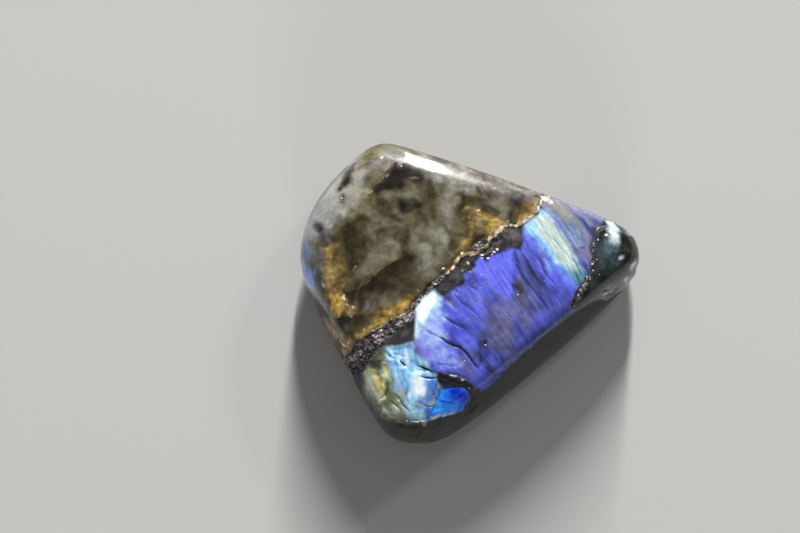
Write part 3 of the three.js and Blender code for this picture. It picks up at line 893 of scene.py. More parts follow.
cover["night_and_edge_shade"] = seen * together(
    stroke([(8.6, 8.3), (9.6, 6.4), (11, 4.4), (12.6, 2.3), (14.4, 0.2)], 0.26, 0.85, 0.15, 1),
    stroke([(9.8, 9.2), (10.8, 7.4), (12.4, 5.4), (14.2, 3.2), (16.2, 0.6)], 0.2, 0.85, 0.15, 1),
    stroke([(7.8, 7.4), (8.5, 5.2), (9.8, 3), (11.2, 1), (12.8, -1.2),
            (14, -3.2)], 0.34, 0.85, 0.15, 1),
    area([(2.5, -7.4), (3.2, -8.2), (3.6, -9.8), (3, -11.4), (2.6, -12.6), (1.8, -12.6),
          (1.3, -11), (1.6, -8.8)], 0.5, 0.6),
    # Painted shade along the front right edge, where the polish rolls over into the side.
    stroke([(2.6, -16.6), (4, -15.4), (6.8, -12.7), (9, -10.6), (11.6, -8.2), (14.2, -6),
            (17.2, -3.4)], 0.8, 0.6, 1.2),
    *spots(
        (9, -1, 1.3, 0.8, 0.4, -45, 0.9), (5.2, -9.4, 1.3, 0.8, 0.4, -20, 0.9),
        (17.2, -1.2, 1.2, 0.6, 0.5, -48, 0.9), (1, -11.2, 0.7, 1, 0.4, 0, 0.9),
    ),
    area([(-6.4, -15.2), (-4, -15.8), (-1, -16.8), (-1, -17.8), (-4, -18),
          (-5.8, -17.6)], 0.9, 0.4),
    *spots(
        (3.4, -13.4, 1.6, 0.6, 0.8, -62), (9.4, 4.8, 1.6, 0.12, 0.6, -52),
        (10.3, 7, 1.6, 0.1, 0.6, -55), (14.6, 1, 2, 0.1, 0.5, -48),
    ),
    stroke([(16.5, 11.2), (17.6, 9.2), (19, 7.2), (20.4, 5.2), (20.9, 4)], 0.16, 0.7, 0.2),
    spot(5.2, -11.2, 1.6, 0.14, 0.5, -58), spot(-3.6, 1, 0.6, 0.12, 0.8, -20),
)
cover["lavender"] = flash * together(
    area([(-9.8, -5), (-7.6, -3.6), (-5.4, -2.4), (-4.2, -4.4), (-5, -6.2), (-4.2, -8),
          (-5.6, -9.2), (-6.6, -10.6), (-8.6, -9.2), (-9.8, -8)], 0.95, 1),
    area([(-6.8, -9.4), (-4.6, -9.2), (-2.4, -10.4), (-1.6, -12.6), (-3.2, -13.8),
          (-6.2, -13.4)], 0.4, 0.9),
    *spots(
        (-3.4, -2.2, 1.4, 0.3, 0.5, -40), (-3.2, 0.4, 0.9, 0.22, 0.9, -32),
        (-6.2, -6.4, 1.6, 0.8, 0.8, -40), (-5.2, -10.8, 1.4, 1.4, 0.6, 0, 0.9),
        (-3, -12.4, 1.8, 0.8, 0.4, -20, 0.9), (-8, -12.2, 0.9, 0.7, 0.5, -30),
    ),
) * (0.95 + 0.25 * streaks).clip(0, 1)
cover["heather"] = flash * together(
    *spots(
        (-8.4, -10.2, 1, 1.6, 0.7), (-7.4, -11.4, 0.7, 0.7, 0.4), (5.6, -3.8, 1.6, 0.8, 0.3, -20),
        (1, -1.6, 1.2, 0.8, 0.25),
    ),
)
report("slate", "night_and_edge_shade", "lavender", "heather")

# %% [markdown]
# ### Cyan, green and pearl
#
# Towards the nose the sheets get thicker, so the flash goes over sky, cyan and pale green to a
# soft pearl grey. The bands lie along the lamellae, and thin darker lines part them.

# %% Cyan, green and pearl
CYAN_BAND = [(9.8, 12.2), (9.9, 10.8), (12, 9.3), (14, 6.9), (16, 4.5), (18, 2.2),
             (19.8, 0.8), (20.6, 2), (19.6, 5), (17.6, 7.8), (15.4, 11), (13.8, 14),
             (12.4, 14.6), (11.2, 13.2)]
GREEN_BAND = [(11.6, 13.4), (12.4, 10.6), (14.4, 7.9), (16.5, 5.3), (18.8, 3.6), (20, 4.2),
              (19.2, 6.6), (17.8, 9), (16.4, 11.4), (14.6, 13.6), (13.2, 14.4)]
cover["sky"] = flash * together(area(CYAN_BAND, 1, 1.1), spot(14, 5, 1.4, 0.5, 0.5, -48))
cover["cyan"] = flash * together(
    area([(9.9, 12.2), (10.2, 11), (12.4, 9.6), (14.2, 7.6), (16.2, 5.2), (17.4, 4.4), (15.6, 7.8),
          (13.8, 10.2), (12.8, 13.6), (11.4, 13.2)], 1, 0.7),
    spot(12.8, 13.6, 1.4, 0.7, 0.9, -30), spot(10.9, 11.8, 1, 0.9, 0.8),
) * (0.96 + 0.25 * streaks).clip(0, 1)
cover["pale_green"] = flash * area(GREEN_BAND, 0.95, 0.8) * (0.9 + 0.3 * broad_streaks).clip(0, 1)
cover["band_line"] = flash * together(
    stroke([(12.2, 13), (13.8, 10.9), (15.6, 8.9), (17.6, 6.6), (18.8, 5.2)], 0.1, 0.7, 0.15, 1),
    stroke([(13.2, 12.8), (14.8, 10.6), (16.4, 8.6)], 0.07, 0.6, 0.12, 1),
    stroke([(11.6, 11.6), (13, 10), (15, 7.6)], 0.07, 0.4, 0.12, 1),
    stroke([(15.2, 12.4), (16.4, 10.4), (17.8, 8.4), (19.4, 6.2)], 0.12, 0.7, 0.15, 1),
    stroke([(15.4, 7.4), (17.2, 5.4), (18.6, 3.6)], 0.07, 0.5, 0.12, 1),
)
cover["teal"] = flash * together(
    *spots(
        (19.7, 3.1, 0.9, 1.5, 0.95, 30), (18.2, 3.4, 1.6, 0.5, 0.5, -48),
        (19.4, 1.9, 0.6, 0.5, 0.7), (18.9, 5.6, 1.2, 0.3, 0.5, -50),
    ),
)
PEARL = [(13, 14.8), (15, 13.6), (16.6, 11.2), (18.4, 8.2), (19.8, 5.8), (21, 4.4),
         (22.2, 6), (22.4, 9), (23.8, 11.8), (25, 15.4), (15.4, 19), (12.8, 17)]
cover["pearl"] = area(PEARL, 1, 0.6) * seen
cover["mist"] = seen * together(
    area([(12.8, 15.4), (14.8, 14), (16.6, 12.6), (18.2, 12.4), (18.4, 14.6), (17, 16),
          (14, 17.2)], 0.95, 0.9),
    *spots(
        (18.8, 12.8, 2.2, 0.4, 0.6, -50), (20.6, 13.6, 2.6, 0.5, 0.5, -30),
        (17.4, 15.6, 2.6, 0.5, 0.7, -20),
    ),
)
cover["lilac"] = seen * together(
    *spots(
        (20.8, 7, 0.8, 2, 0.7, 25), (19.4, 14.6, 2.2, 0.5, 0.7, -22),
        (22.6, 13.6, 1.4, 0.6, 0.7, -25), (21.6, 9.8, 0.5, 1.4, 0.5, 25),
    ),
)
cover["frost_and_flank_sheen"] = seen * together(
    *spots(
        (18.6, 9.6, 0.5, 1.6, 0.8, 38), (19.4, 10.6, 0.3, 0.6, 0.6, 30),
        # The two spots on the left flank, at -28.5 and -28.8 across, are painted sheen.
        (18.2, 11.4, 0.4, 0.8, 0.4, 35), (-28.5, 12.6, 4, 0.7, 0.4, 68),
        (-28.8, 7.4, 0.7, 1.6, 0.45, 15), (14.6, 14, 1.6, 0.5, 0.5, -40),
    ),
)
cover["iris"] = seen * together(
    *spots(
        (21.2, 11.9, 2.2, 0.35, 0.9, -55), (22.4, 12.8, 1.2, 0.5, 0.8, -35),
        (19.9, 13.2, 1.4, 0.3, 0.6, -50), (20.3, 8.1, 0.4, 0.25, 0.9),
        (20.4, 12, 1.6, 0.2, 0.6, -52), (20.3, 4.6, 0.9, 0.25, 0.8, -50),
        (22.4, 10.9, 0.5, 0.9, 0.5),
    ),
)
report("sky", "cyan", "pale_green", "teal", "pearl", "mist", "lilac", "frost_and_flank_sheen", "iris")

# %% [markdown]
# ### White flare
#
# Beside the main vein one patch of the flash is strong enough to look white, with a pale blue rim.

# %% White flare
cover["flare_rim"] = seen * together(
    area([(-10, -7.4), (-9.9, -2.6), (-8.6, -0.9), (-6.4, 0.7), (-5, -0.6), (-5.2, -2.4),
          (-6.8, -3.4), (-7.8, -5.2), (-9, -7.8)], 0.95, 0.5),
)
cover["flare"] = seen * together(
    area([(-9.5, -5), (-9.7, -2.8), (-8.6, -1.4), (-7.2, -0.2), (-6.3, 0.2), (-5.9, -0.5),
          (-6.5, -1.7), (-7.3, -2.8), (-8, -4.2), (-8.6, -5.4)], 1, 0.35),
    *spots((-7, -1.2, 0.8, 0.9), (11.2, 12, 1.4, 0.5, 0.2, -48), (-9.7, -6.6, 0.2, 1.6, 0.7)),
)
report("flare_rim", "flare")

# %% [markdown]
# ### Front left corner
#
# The flaked corner shows every colour of the flash close together: ice blue and white on the
# blades, blue pools between them, gold and moss along their lower edge, and one face of pure
# azure. The moss glaze also paints shade into the narrow gap beside the gold band.

# %% Front left corner
CORNER = [(-18.9, -12.6), (-17.2, -11.4), (-15.4, -9.6), (-13.2, -9.4), (-10.2, -8.4), (-9.6, -11),
          (-7.2, -13), (-5.8, -14.8), (-5.2, -16.8), (-6.2, -19.2), (-6.6, -21), (-8, -23.1),
          (-11, -23.4), (-14, -22.9), (-17, -22.2), (-19, -19.4), (-19.8, -16), (-19.8, -13.8)]
corner = area(CORNER, 1, 0.4) * seen
cover["sage"] = corner
cover["ice"] = corner * together(
    area([(-15, -9.9), (-12.6, -9.3), (-10.2, -8.2), (-9.4, -11.4), (-6.8, -13.2), (-6, -15),
          (-8.2, -17.8), (-10.4, -19.6), (-11.8, -17), (-13.4, -14.6), (-15.2, -12.2)], 1, 0.7),
    area([(-10.9, -21.2), (-9.8, -20.8), (-8.2, -20.6), (-8, -23), (-9.2, -23)], 0.9, 0.5),
    *spots(
        (-7, -16.4, 1.4, 1.4, 0.95), (-15.4, -20.9, 0.9, 0.4, 0.5, -30),
        (-11.4, -19.4, 0.6, 0.8, 0.6), (-9.2, -21.8, 0.9, 0.8, 0.8), (-12.7, -17, 0.5, 2, 0.5, 8),
        (-10.7, -20.6, 0.8, 1.9, 0.75), (-8.4, -19.6, 2, 1.2, 0.4, 0, 0.8),
    ),
)
cover["pool"] = corner * together(
    *spots(
        (-6.6, -17.2, 0.9, 1.8, 0.9), (-6.9, -16.1, 1, 0.8, 0.7), (-12.2, -10, 0.5, 0.6, 0.3),
        (-10.6, -9.1, 0.7, 0.7, 0.5), (-11.6, -15.6, 0.25, 2.6, 0.4, 12),
        (-6.9, -15.6, 1.4, 0.25, 0.7), (-12.7, -13.8, 0.2, 1.4, 0.4, 8),
        (-11.2, -18.4, 0.4, 1.2, 0.4, 10), (-7.4, -20.4, 0.8, 0.4, 0.7),
        (-8.6, -19.4, 1.2, 1.1, 0.4), (-7.2, -21.8, 0.6, 0.5, 0.8),
        (-18.7, -11.6, 0.25, 1.1, 0.95, -15), (-14.2, -11.2, 1.2, 0.2, 0.6, -30),
        (-14, -12.8, 1.4, 0.25, 0.6, -10), (-10.6, -10.6, 0.3, 1.4, 0.5, 10),
        (-8.6, -11.2, 0.5, 0.8, 0.4), (-10, -12.2, 1, 0.3, 0.5, -30),
        (-6, -14.4, 1.4, 0.4, 0.8, -20), (-15.6, -10.2, 0.4, 0.3, 0.5),
        (-13.4, -12.2, 0.3, 0.8, 0.4), (-12.6, -16, 0.6, 1.2, 0.5), (-7.6, -21, 0.8, 0.9, 0.85),
        (-7.6, -19, 0.8, 0.8, 0.55), (-8, -17.2, 0.6, 0.8, 0.3), (-6, -16.6, 0.5, 0.8, 0.8),
        (-11.3, -13.2, 0.9, 1.6, 0.3),
    ),
)
cover["moss_and_shade"] = corner * together(
    area([(-14.9, -17.8), (-13, -17.4), (-11.2, -19.4), (-10.8, -22.4), (-12.8, -22.6),
          (-16, -21.4), (-17, -19.6)], 0.4, 0.6),
    *spots(
        (-17.2, -11.6, 1.8, 0.9, 0.95, 35), (-16.2, -13, 1.2, 0.6, 0.8),
        (-18.4, -20.2, 0.9, 1.8, 0.8, 25), (-8.6, -19.5, 1.4, 0.8, 0.3),
        (-14.2, -18.6, 0.6, 1.4, 0.4, 15), (-13.2, -22.8, 3, 0.3, 0.95),
        # The spots at (-14.6, -16.6) and (-14, -15) are painted shade in the gap beside the gold.
        (-17.4, -21.8, 1, 0.7, 0.9), (-14.6, -16.6, 0.4, 1.4, 0.8, 8),
        (-14, -15, 0.25, 0.9, 0.9, 5), (-15.8, -12, 1.4, 0.4, 0.6, 10),
    ),
    stroke([(-17.2, -22.3), (-14.2, -23), (-11, -23.2), (-8.8, -22.8)], 0.22, 0.9),
)
cover["gold"] = corner * together(
    stroke([(-17.3, -14.6), (-16.6, -16), (-16, -17.4), (-15.9, -18.6)], 0.75, 1, 0.5),
    *spots(
        (-15.1, -13.8, 0.5, 1.3, 0.4, 18), (-12.7, -18.9, 0.2, 0.2),
        (-13.6, -20.8, 1.6, 0.6, 0.15, -10), (-16.4, -16.6, 0.6, 1.2, 0.8),
    ),
)
cover["pale_edge"] = corner * together(
    *spots(
        (-18, -16.9, 1.1, 2.4), (-18.4, -14.4, 0.7, 1, 0.6), (-16, -18.2, 0.4, 1, 0.6, -8),
        (-15.3, -20.9, 0.4, 0.5, 0.95), (-14.3, -14.8, 0.3, 1, 0.4, 10),
        (-16.2, -20.4, 0.25, 0.25, 0.9), (-13.4, -20.6, 1.6, 0.9, 0.45, -10),
        (-17, -15.4, 0.3, 1, 0.5, -20), (-17.2, -19, 0.7, 0.9, 0.6),
    ),
)
cover["white_heat"] = corner * together(
    *spots(
        (-9.4, -16.7, 1.1, 1.6), (-10, -14.8, 0.5, 0.8, 0.25), (-11.2, -11.6, 0.5, 1.4, 0.4, 10),
        (-12.6, -11.4, 0.4, 0.5, 0.4), (-8.8, -22.2, 0.4, 0.5, 0.5), (-12, -13.4, 0.5, 0.3, 0.5),
        (-8.6, -17.4, 0.5, 0.6, 0.6), (-10.8, -18.2, 0.4, 0.8, 0.5),
    ),
)
AZURE = [(-5.3, -17.6), (-4.2, -17.4), (-2.4, -16.8), (-0.8, -16.9), (0.2, -18), (0.1, -19.3),
         (-1, -20.6), (-2.8, -21.4), (-5, -21.9), (-7.8, -22.9), (-6.6, -20.6), (-5.8, -19.2)]
cover["azure"] = area(AZURE, 1, 0.18) * seen
cover["cobalt"] = cover["azure"] * together(
    *spots(
        (-2.4, -18.2, 2.2, 1.2, 0.65, -20, 0.8), (-0.7, -18.5, 1.6, 1, 0.9),
        (-2.8, -17.4, 1.4, 0.5, 0.8), (-3.4, -19.8, 1.6, 0.15, 0.8, -10),
        (-5, -19.4, 0.9, 0.12, 0.8, -25), (-6, -21, 0.12, 0.9, 0.7, -10),
        (-4.4, -18.4, 0.12, 0.7, 0.4, 10),
    ),
)
report("sage", "ice", "pool", "moss_and_shade", "gold", "pale_edge", "white_heat", "azure", "cobalt")

# %% [markdown]
# ### Dusk
#
# The flash dies out a little before it meets a vein, and leaves a dusky border with paler spots.

# %% Dusk
cover["dusk"] = seen * together(
    area([(-6.2, 0.8), (-4.2, 3), (-2.4, 5.2), (-1.2, 6.6), (0.5, 6.8), (0.4, 5.4), (0, 4.4),
          (-0.9, 4), (-1, 2.6), (-2.4, 1.9), (-3.4, 1), (-4.2, 0), (-5.2, -0.6)], 0.95, 0.7),
    area([(5.4, 11.2), (6.6, 12.1), (8.8, 12.1), (9.9, 12.2), (9.8, 10.2), (9, 8.6), (7.8, 7.8),
          (5.8, 7.7), (3, 7.4), (1.6, 7.2), (3.8, 9.4)], 0.94, 0.8),
    area([(-9.8, -3.4), (-10, -6), (-9.8, -8.4), (-11.2, -8.6), (-13.6, -9.1), (-15.6, -9.8),
          (-14.2, -7.6), (-12.4, -6.4), (-11, -5.4)], 0.95, 0.6),
    stroke(NOSE_VEIN, 0.7, 0.7, 0.6),
    *spots(
        (-4, -0.9, 0.7, 0.45, 0.7), (22.6, 10.4, 0.6, 1.6, 0.9, 25), (21.9, 7.9, 0.4, 1.4, 0.9),
        (16.8, -2.6, 1.2, 0.4, 0.4, -50),
    ),
)
cover["dusk_light"] = seen * together(
    *spots(
        (7.6, 10.6, 1.4, 1, 0.75), (-2.6, 3.6, 1, 1, 0.1, 40), (-0.9, 4.6, 0.9, 0.9, 0.45),
        (-11.8, -7.4, 1, 0.5, 0.15, 30), (6.6, 11.4, 0.8, 0.4, 0.6),
    ),
)
cover["moss_spot"] = seen * together(
    *spots(
        (8.8, 1.2, 0.9, 1.1, 0.97), (8.3, 2.5, 0.4, 0.6, 0.3), (6.2, -8.2, 1.8, 0.5, 0.3, 15),
        (-10.5, -25.4, 6, 1.5, 0.45, 0, 0.8), (7.8, 0.9, 0.2, 0.8, 0.6),
        (-2, -14.8, 1.2, 0.2, 0.7, -12), (23.2, 3.3, 0.3, 0.3, 0.8), (19.9, 1.6, 0.4, 0.3, 0.5),
    ),
)
report("dusk", "dusk_light", "moss_spot")

# %% [markdown]
# ### Nose
#
# Past the narrow vein the feldspar is clear, so the nose looks like dark bottle glass with sea
# green in it. A painted highlight runs down its upper slope, white at the top, in a painted
# steel-blue reflection. Its chips are bronze, or carry a painted highlight where they would catch
# the lamp, and one more painted highlight lies along the front left corner's lower edge.

# %% Nose
NOSE_GLASS = [(23.6, 12.8), (22.9, 10.4), (22.2, 8.6), (22.4, 6.4), (22, 4.6), (21, 2.2),
              (20, 0.2), (20.4, -3), (26, -6), (40, 0), (40, 16), (28, 16)]
cover["glass"] = area(NOSE_GLASS, 1, 0.35)
# Painted steel-blue reflection round the highlight on the nose.
cover["steel_reflection"] = seen * together(
    *spots(
        (24.9, 9.4, 0.9, 2.8, 0.75, -12), (26.1, 8.4, 0.5, 1.5, 0.6), (25.4, 5.6, 0.5, 1.4, 0.5),
        (23.6, 6.4, 0.9, 1.4, 0.4), (27.6, 11, 1.4, 0.4, 0.5, -32),
    ),
)
cover["sea"] = seen * together(
    *spots(
        (23.8, 7, 1.2, 2.4, 0.8, 10), (25.3, 3.4, 0.6, 1.8, 0.8, -25), (23.4, 2, 1.8, 1.6, 0.35),
        (24.4, 9.4, 0.7, 1.2, 0.7), (21.8, 1, 0.8, 1, 0.4),
    ),
)
cover["bronze"] = seen * together(
    *spots(
        (28.9, 9.2, 1, 2.2, 0.5, -12), (27.4, 11.2, 1.6, 0.4, 0.5, -32),
        (26.5, 5.3, 0.8, 0.4, 0.8), (23, 4.4, 0.8, 1.2, 0.3),
    ),
)
# Painted highlights on the nose's slope and chips, and on the front left corner's lower edge.
cover["painted_glint"] = seen * together(
    area([(24, 12.8), (25.6, 12.9), (26.3, 11.2), (26.5, 8.4), (26.2, 8), (25.9, 9), (25.2, 10.4),
          (24.6, 11.6)], 0.85, 0.4),
    *spots(
        (27.2, 6.2, 0.5, 0.3, 0.9, 35), (29.2, 4.9, 0.35, 0.9, 0.9, -15),
        (28.1, 2.5, 0.3, 0.7, 0.7, -20), (24.9, 0, 0.9, 0.15, 0.6, 35),
        (19.4, -0.3, 0.5, 0.25, 0.9, 30), (26, 0.9, 0.5, 0.12, 0.5, 50), (25, 9.4, 0.4, 0.8, 0.3),
        (-5.4, -22.1, 2.6, 0.12, 0.7, 20),
    ),
)
report("glass", "steel_reflection", "sea", "bronze", "painted_glint")

# %% [markdown]
# ### Edges, sides and depths
#
# Painted shade fills the deepest cracks and the flaked lip, near black, where no light gets back
# out. The left rim has a thin blue flash of its own, and the far side a dull one. The last three
# covers hold how deep a point lies in a vein or crack, plus a half, so that their edge falls at
# 0.5 and can be drawn sharp.

# %% Edges, sides and depths
# Painted shade in the deepest cracks and along the flaked lip.
cover["crack_shade"] = together(
    area([(0, -17.2), (0.5, -18), (0.7, -19.2), (0.4, -20.4), (-0.4, -21.4), (-1, -21.4),
          (0, -20.2), (0.3, -18.8)], 1, 0.15),
    spot(2.7, -9, 0.4, 0.6, 0.9), stroke([(1.9, -8.6), (1.7, -10.6), (1.9, -12.4)], 0.12, 0.8),
    stroke([(-5.2, -15), (-2.6, -15.8), (-0.6, -16.3)], 0.25, 0.8, 0.35),
    *spots(
        (26.9, 10, 0.16, 2, 0.8), (-7, -14, 0.8, 0.2, 0.6, -20),
        (-17.5, -13, 1.5, 0.6, 0.6, 20, 0.6), (-16, -13.4, 1, 0.4, 0.3, 0, 0.6),
    ),
)
cover["edge_blue"] = together(
    stroke([(-30.2, 5.4), (-29.5, 3.6), (-28.8, 2), (-28, 0.4)], 0.8, 1, 0.25, 1),
    spot(-27.8, 3.5, 0.26, 0.8, 0.9), spot(-29.5, 7.4, 0.5, 2.2, 0.4),
) * fade(facing_map, -0.1, 0.08)
back_streaks = fade(broad_streaks, 0, 0.9) * fade(lumps(skin_points, 14, 71, 2), -0.2, 0.8)
cover["dull_flash"] = (0.55 * hidden * (1 - cover["cloudy"]) * back_streaks
                       * fade(height_above_flat, 2.5, 7))
cover["vein"] = vein_depth + 0.5
cover["vein_pale"] = pale_depth + 0.5
cover["crack"] = crack_depth + 0.5
report("crack_shade", "edge_blue", "dull_flash")
print(len(cover), "covers")

# %% [markdown]
# ## Mesh
#
# The ray grid becomes the mesh. A second set of coordinates unrolls it for the baked pictures: the
# display face gets the largest island, the sides become two strips, and the flat a disc of its
# own.

# %% Faces and their unrolled map
ISLAND_LEFT, ISLAND_BOTTOM, ISLAND_WIDTH, ISLAND_HEIGHT = 0.005, 0.005, 0.75, 0.685
STRIP_BOTTOMS, STRIP_HEIGHT = (0.70, 0.852), 0.143  # the sides, in two halves
DISC_MIDDLE, DISC_RADIUS = (0.88, 0.35), 0.112  # the flat
ring_length = len(border)
first_ring = rows * columns  # index of the first point below the display face


def ring_point(ring, step):
    """Index of a point on a ring. Ring 0 is the border of the display face."""
    step = step % ring_length
    return border[step] if ring == 0 else first_ring + (ring - 1) * ring_length + step


def on_disc(reach, step):
    """Unrolled place of a point of the flat. reach is 1 at the flat's edge."""
    angle = 2 * math.pi * step / ring_length
    return (DISC_MIDDLE[0] + DISC_RADIUS * reach * math.cos(angle),
            DISC_MIDDLE[1] + DISC_RADIUS * reach * math.sin(angle))


corners = ((0, 0), (1, 0), (1, 1), (0, 1))  # a quad's corners, counted in steps along its sides
polygons, unrolled = [], []
for r in range(rows - 1):
    for c in range(columns - 1):
        polygons.append([(r + dr) * columns + c + dc for dc, dr in corners])
        unrolled += [(ISLAND_LEFT + ISLAND_WIDTH * (c + dc) / (columns - 1),
                      ISLAND_BOTTOM + ISLAND_HEIGHT * (r + dr) / (rows - 1))
                     for dc, dr in corners]
for ring in range(SIDE_RINGS + FLAT_RINGS - 1):
    for step in range(ring_length):
        polygons.append([ring_point(ring + dr, step + ds) for dr, ds in corners])
        if ring < SIDE_RINGS:
            half, place = divmod(step, ring_length // 2)
            unrolled += [(ISLAND_LEFT + ISLAND_WIDTH * (place + ds) / (ring_length // 2),
                          STRIP_BOTTOMS[half] + STRIP_HEIGHT * (1 - (ring + dr) / SIDE_RINGS))
                         for dr, ds in corners]
        else:
            unrolled += [on_disc(1 - (ring + dr - SIDE_RINGS) / FLAT_RINGS, step + ds)
                         for dr, ds in corners]
last = SIDE_RINGS + FLAT_RINGS - 1
for step in range(ring_length):
    polygons.append([ring_point(last, step), len(skin_points) - 1, ring_point(last, step + 1)])
    inner = 1 / FLAT_RINGS
    unrolled += [on_disc(inner, step), on_disc(0, step), on_disc(inner, step + 1)]
print(len(polygons), "faces")

# %% [markdown]
# ### Covers on the mesh
#
# The mesh carries each cover as a number on its points, which the shader reads by name. The middle
# of the flat is the origin, and the edge of the flat is the one sharp edge of the stone.

# %% Mesh with its covers
box_middle = (skin_points.min(0) + skin_points.max(0)) / 2
to_frame = np.array([-box_middle[0], -box_middle[1], HEART_HEIGHT])
stone_mesh = bpy.data.meshes.new("stone")
stone_mesh.from_pydata(((stone_points + to_frame) * MM).tolist(), [], polygons)
uv_layer = stone_mesh.uv_layers.new(name="OFBake")
uv_layer.data.foreach_set("uv", np.array(unrolled, np.float32).ravel())
stone_mesh.polygons.foreach_set("use_smooth", [True] * len(polygons))

edge_ends = np.zeros(2 * len(stone_mesh.edges), int)
stone_mesh.edges.foreach_get("vertices", edge_ends)
ring_start = first_ring + (SIDE_RINGS - 1) * ring_length
on_edge = (edge_ends >= ring_start) & (edge_ends < ring_start + ring_length)
sharp = stone_mesh.attributes.new("sharp_edge", "BOOLEAN", "EDGE")
sharp.data.foreach_set("value", on_edge.reshape(-1, 2).all(1))

for name, values in cover.items():
    layer = stone_mesh.attributes.new(name, "FLOAT", "POINT")
    layer.data.foreach_set("value", np.clip(values, 0, 1).astype(np.float32))
layer = stone_mesh.attributes.new("lamella", "FLOAT_VECTOR", "POINT")
layer.data.foreach_set("vector", lamella.astype(np.float32).ravel())

stone = bpy.data.objects.new("stone_polished", stone_mesh)
bpy.context.scene.collection.objects.link(stone)
aim_camera(Vector(to_frame) * MM)
stone_mesh.calc_loop_triangles()
print(len(stone_mesh.loop_triangles), "triangles")

# %% [markdown]
# ## Labradorite
#
# The stone is one dielectric all through, so there is one shader. Labradorite is cut and then
# polished with a fine oxide, which leaves it nearly as smooth as glass: the eye gets deep colour
# under sharp bright lamps, as on something wet. Its index of refraction is about 1.56. Where the
# crushed vein comes out the surface stays rough.

# %% Node helpers
def linear(text):
    """A #rrggbb colour as linear light, with alpha."""
    parts = [int(text[i:i + 2], 16) / 255 for i in (1, 3, 5)]
    return [p / 12.92 if p <= 0.04045 else ((p + 0.055) / 1.055) ** 2.4 for p in parts] + [1]


def node(tree, kind, inputs=None, **settings):
    """Adds a node. inputs gives each socket a value, or an output to link to it."""
    made = tree.nodes.new("ShaderNode" + kind)
    for name, value in settings.items():
        setattr(made, name, value)
    for socket, value in (inputs or {}).items():
        if isinstance(value, bpy.types.NodeSocket):
            tree.links.new(value, made.inputs[socket])
        else:
            made.inputs[socket].default_value = value
    return made


print("sRGB #808080 is", round(linear("#808080")[0], 3), "in linear light")

# %% [markdown]
# ### Glazes
#
# Each mineral is a glaze over the one before. Its cover is roughened by fine noise, so that its
# edge frays like a real stain, and its colour runs between a dark and a light end along a pattern.
# In the flashing half that pattern follows the lamellae.

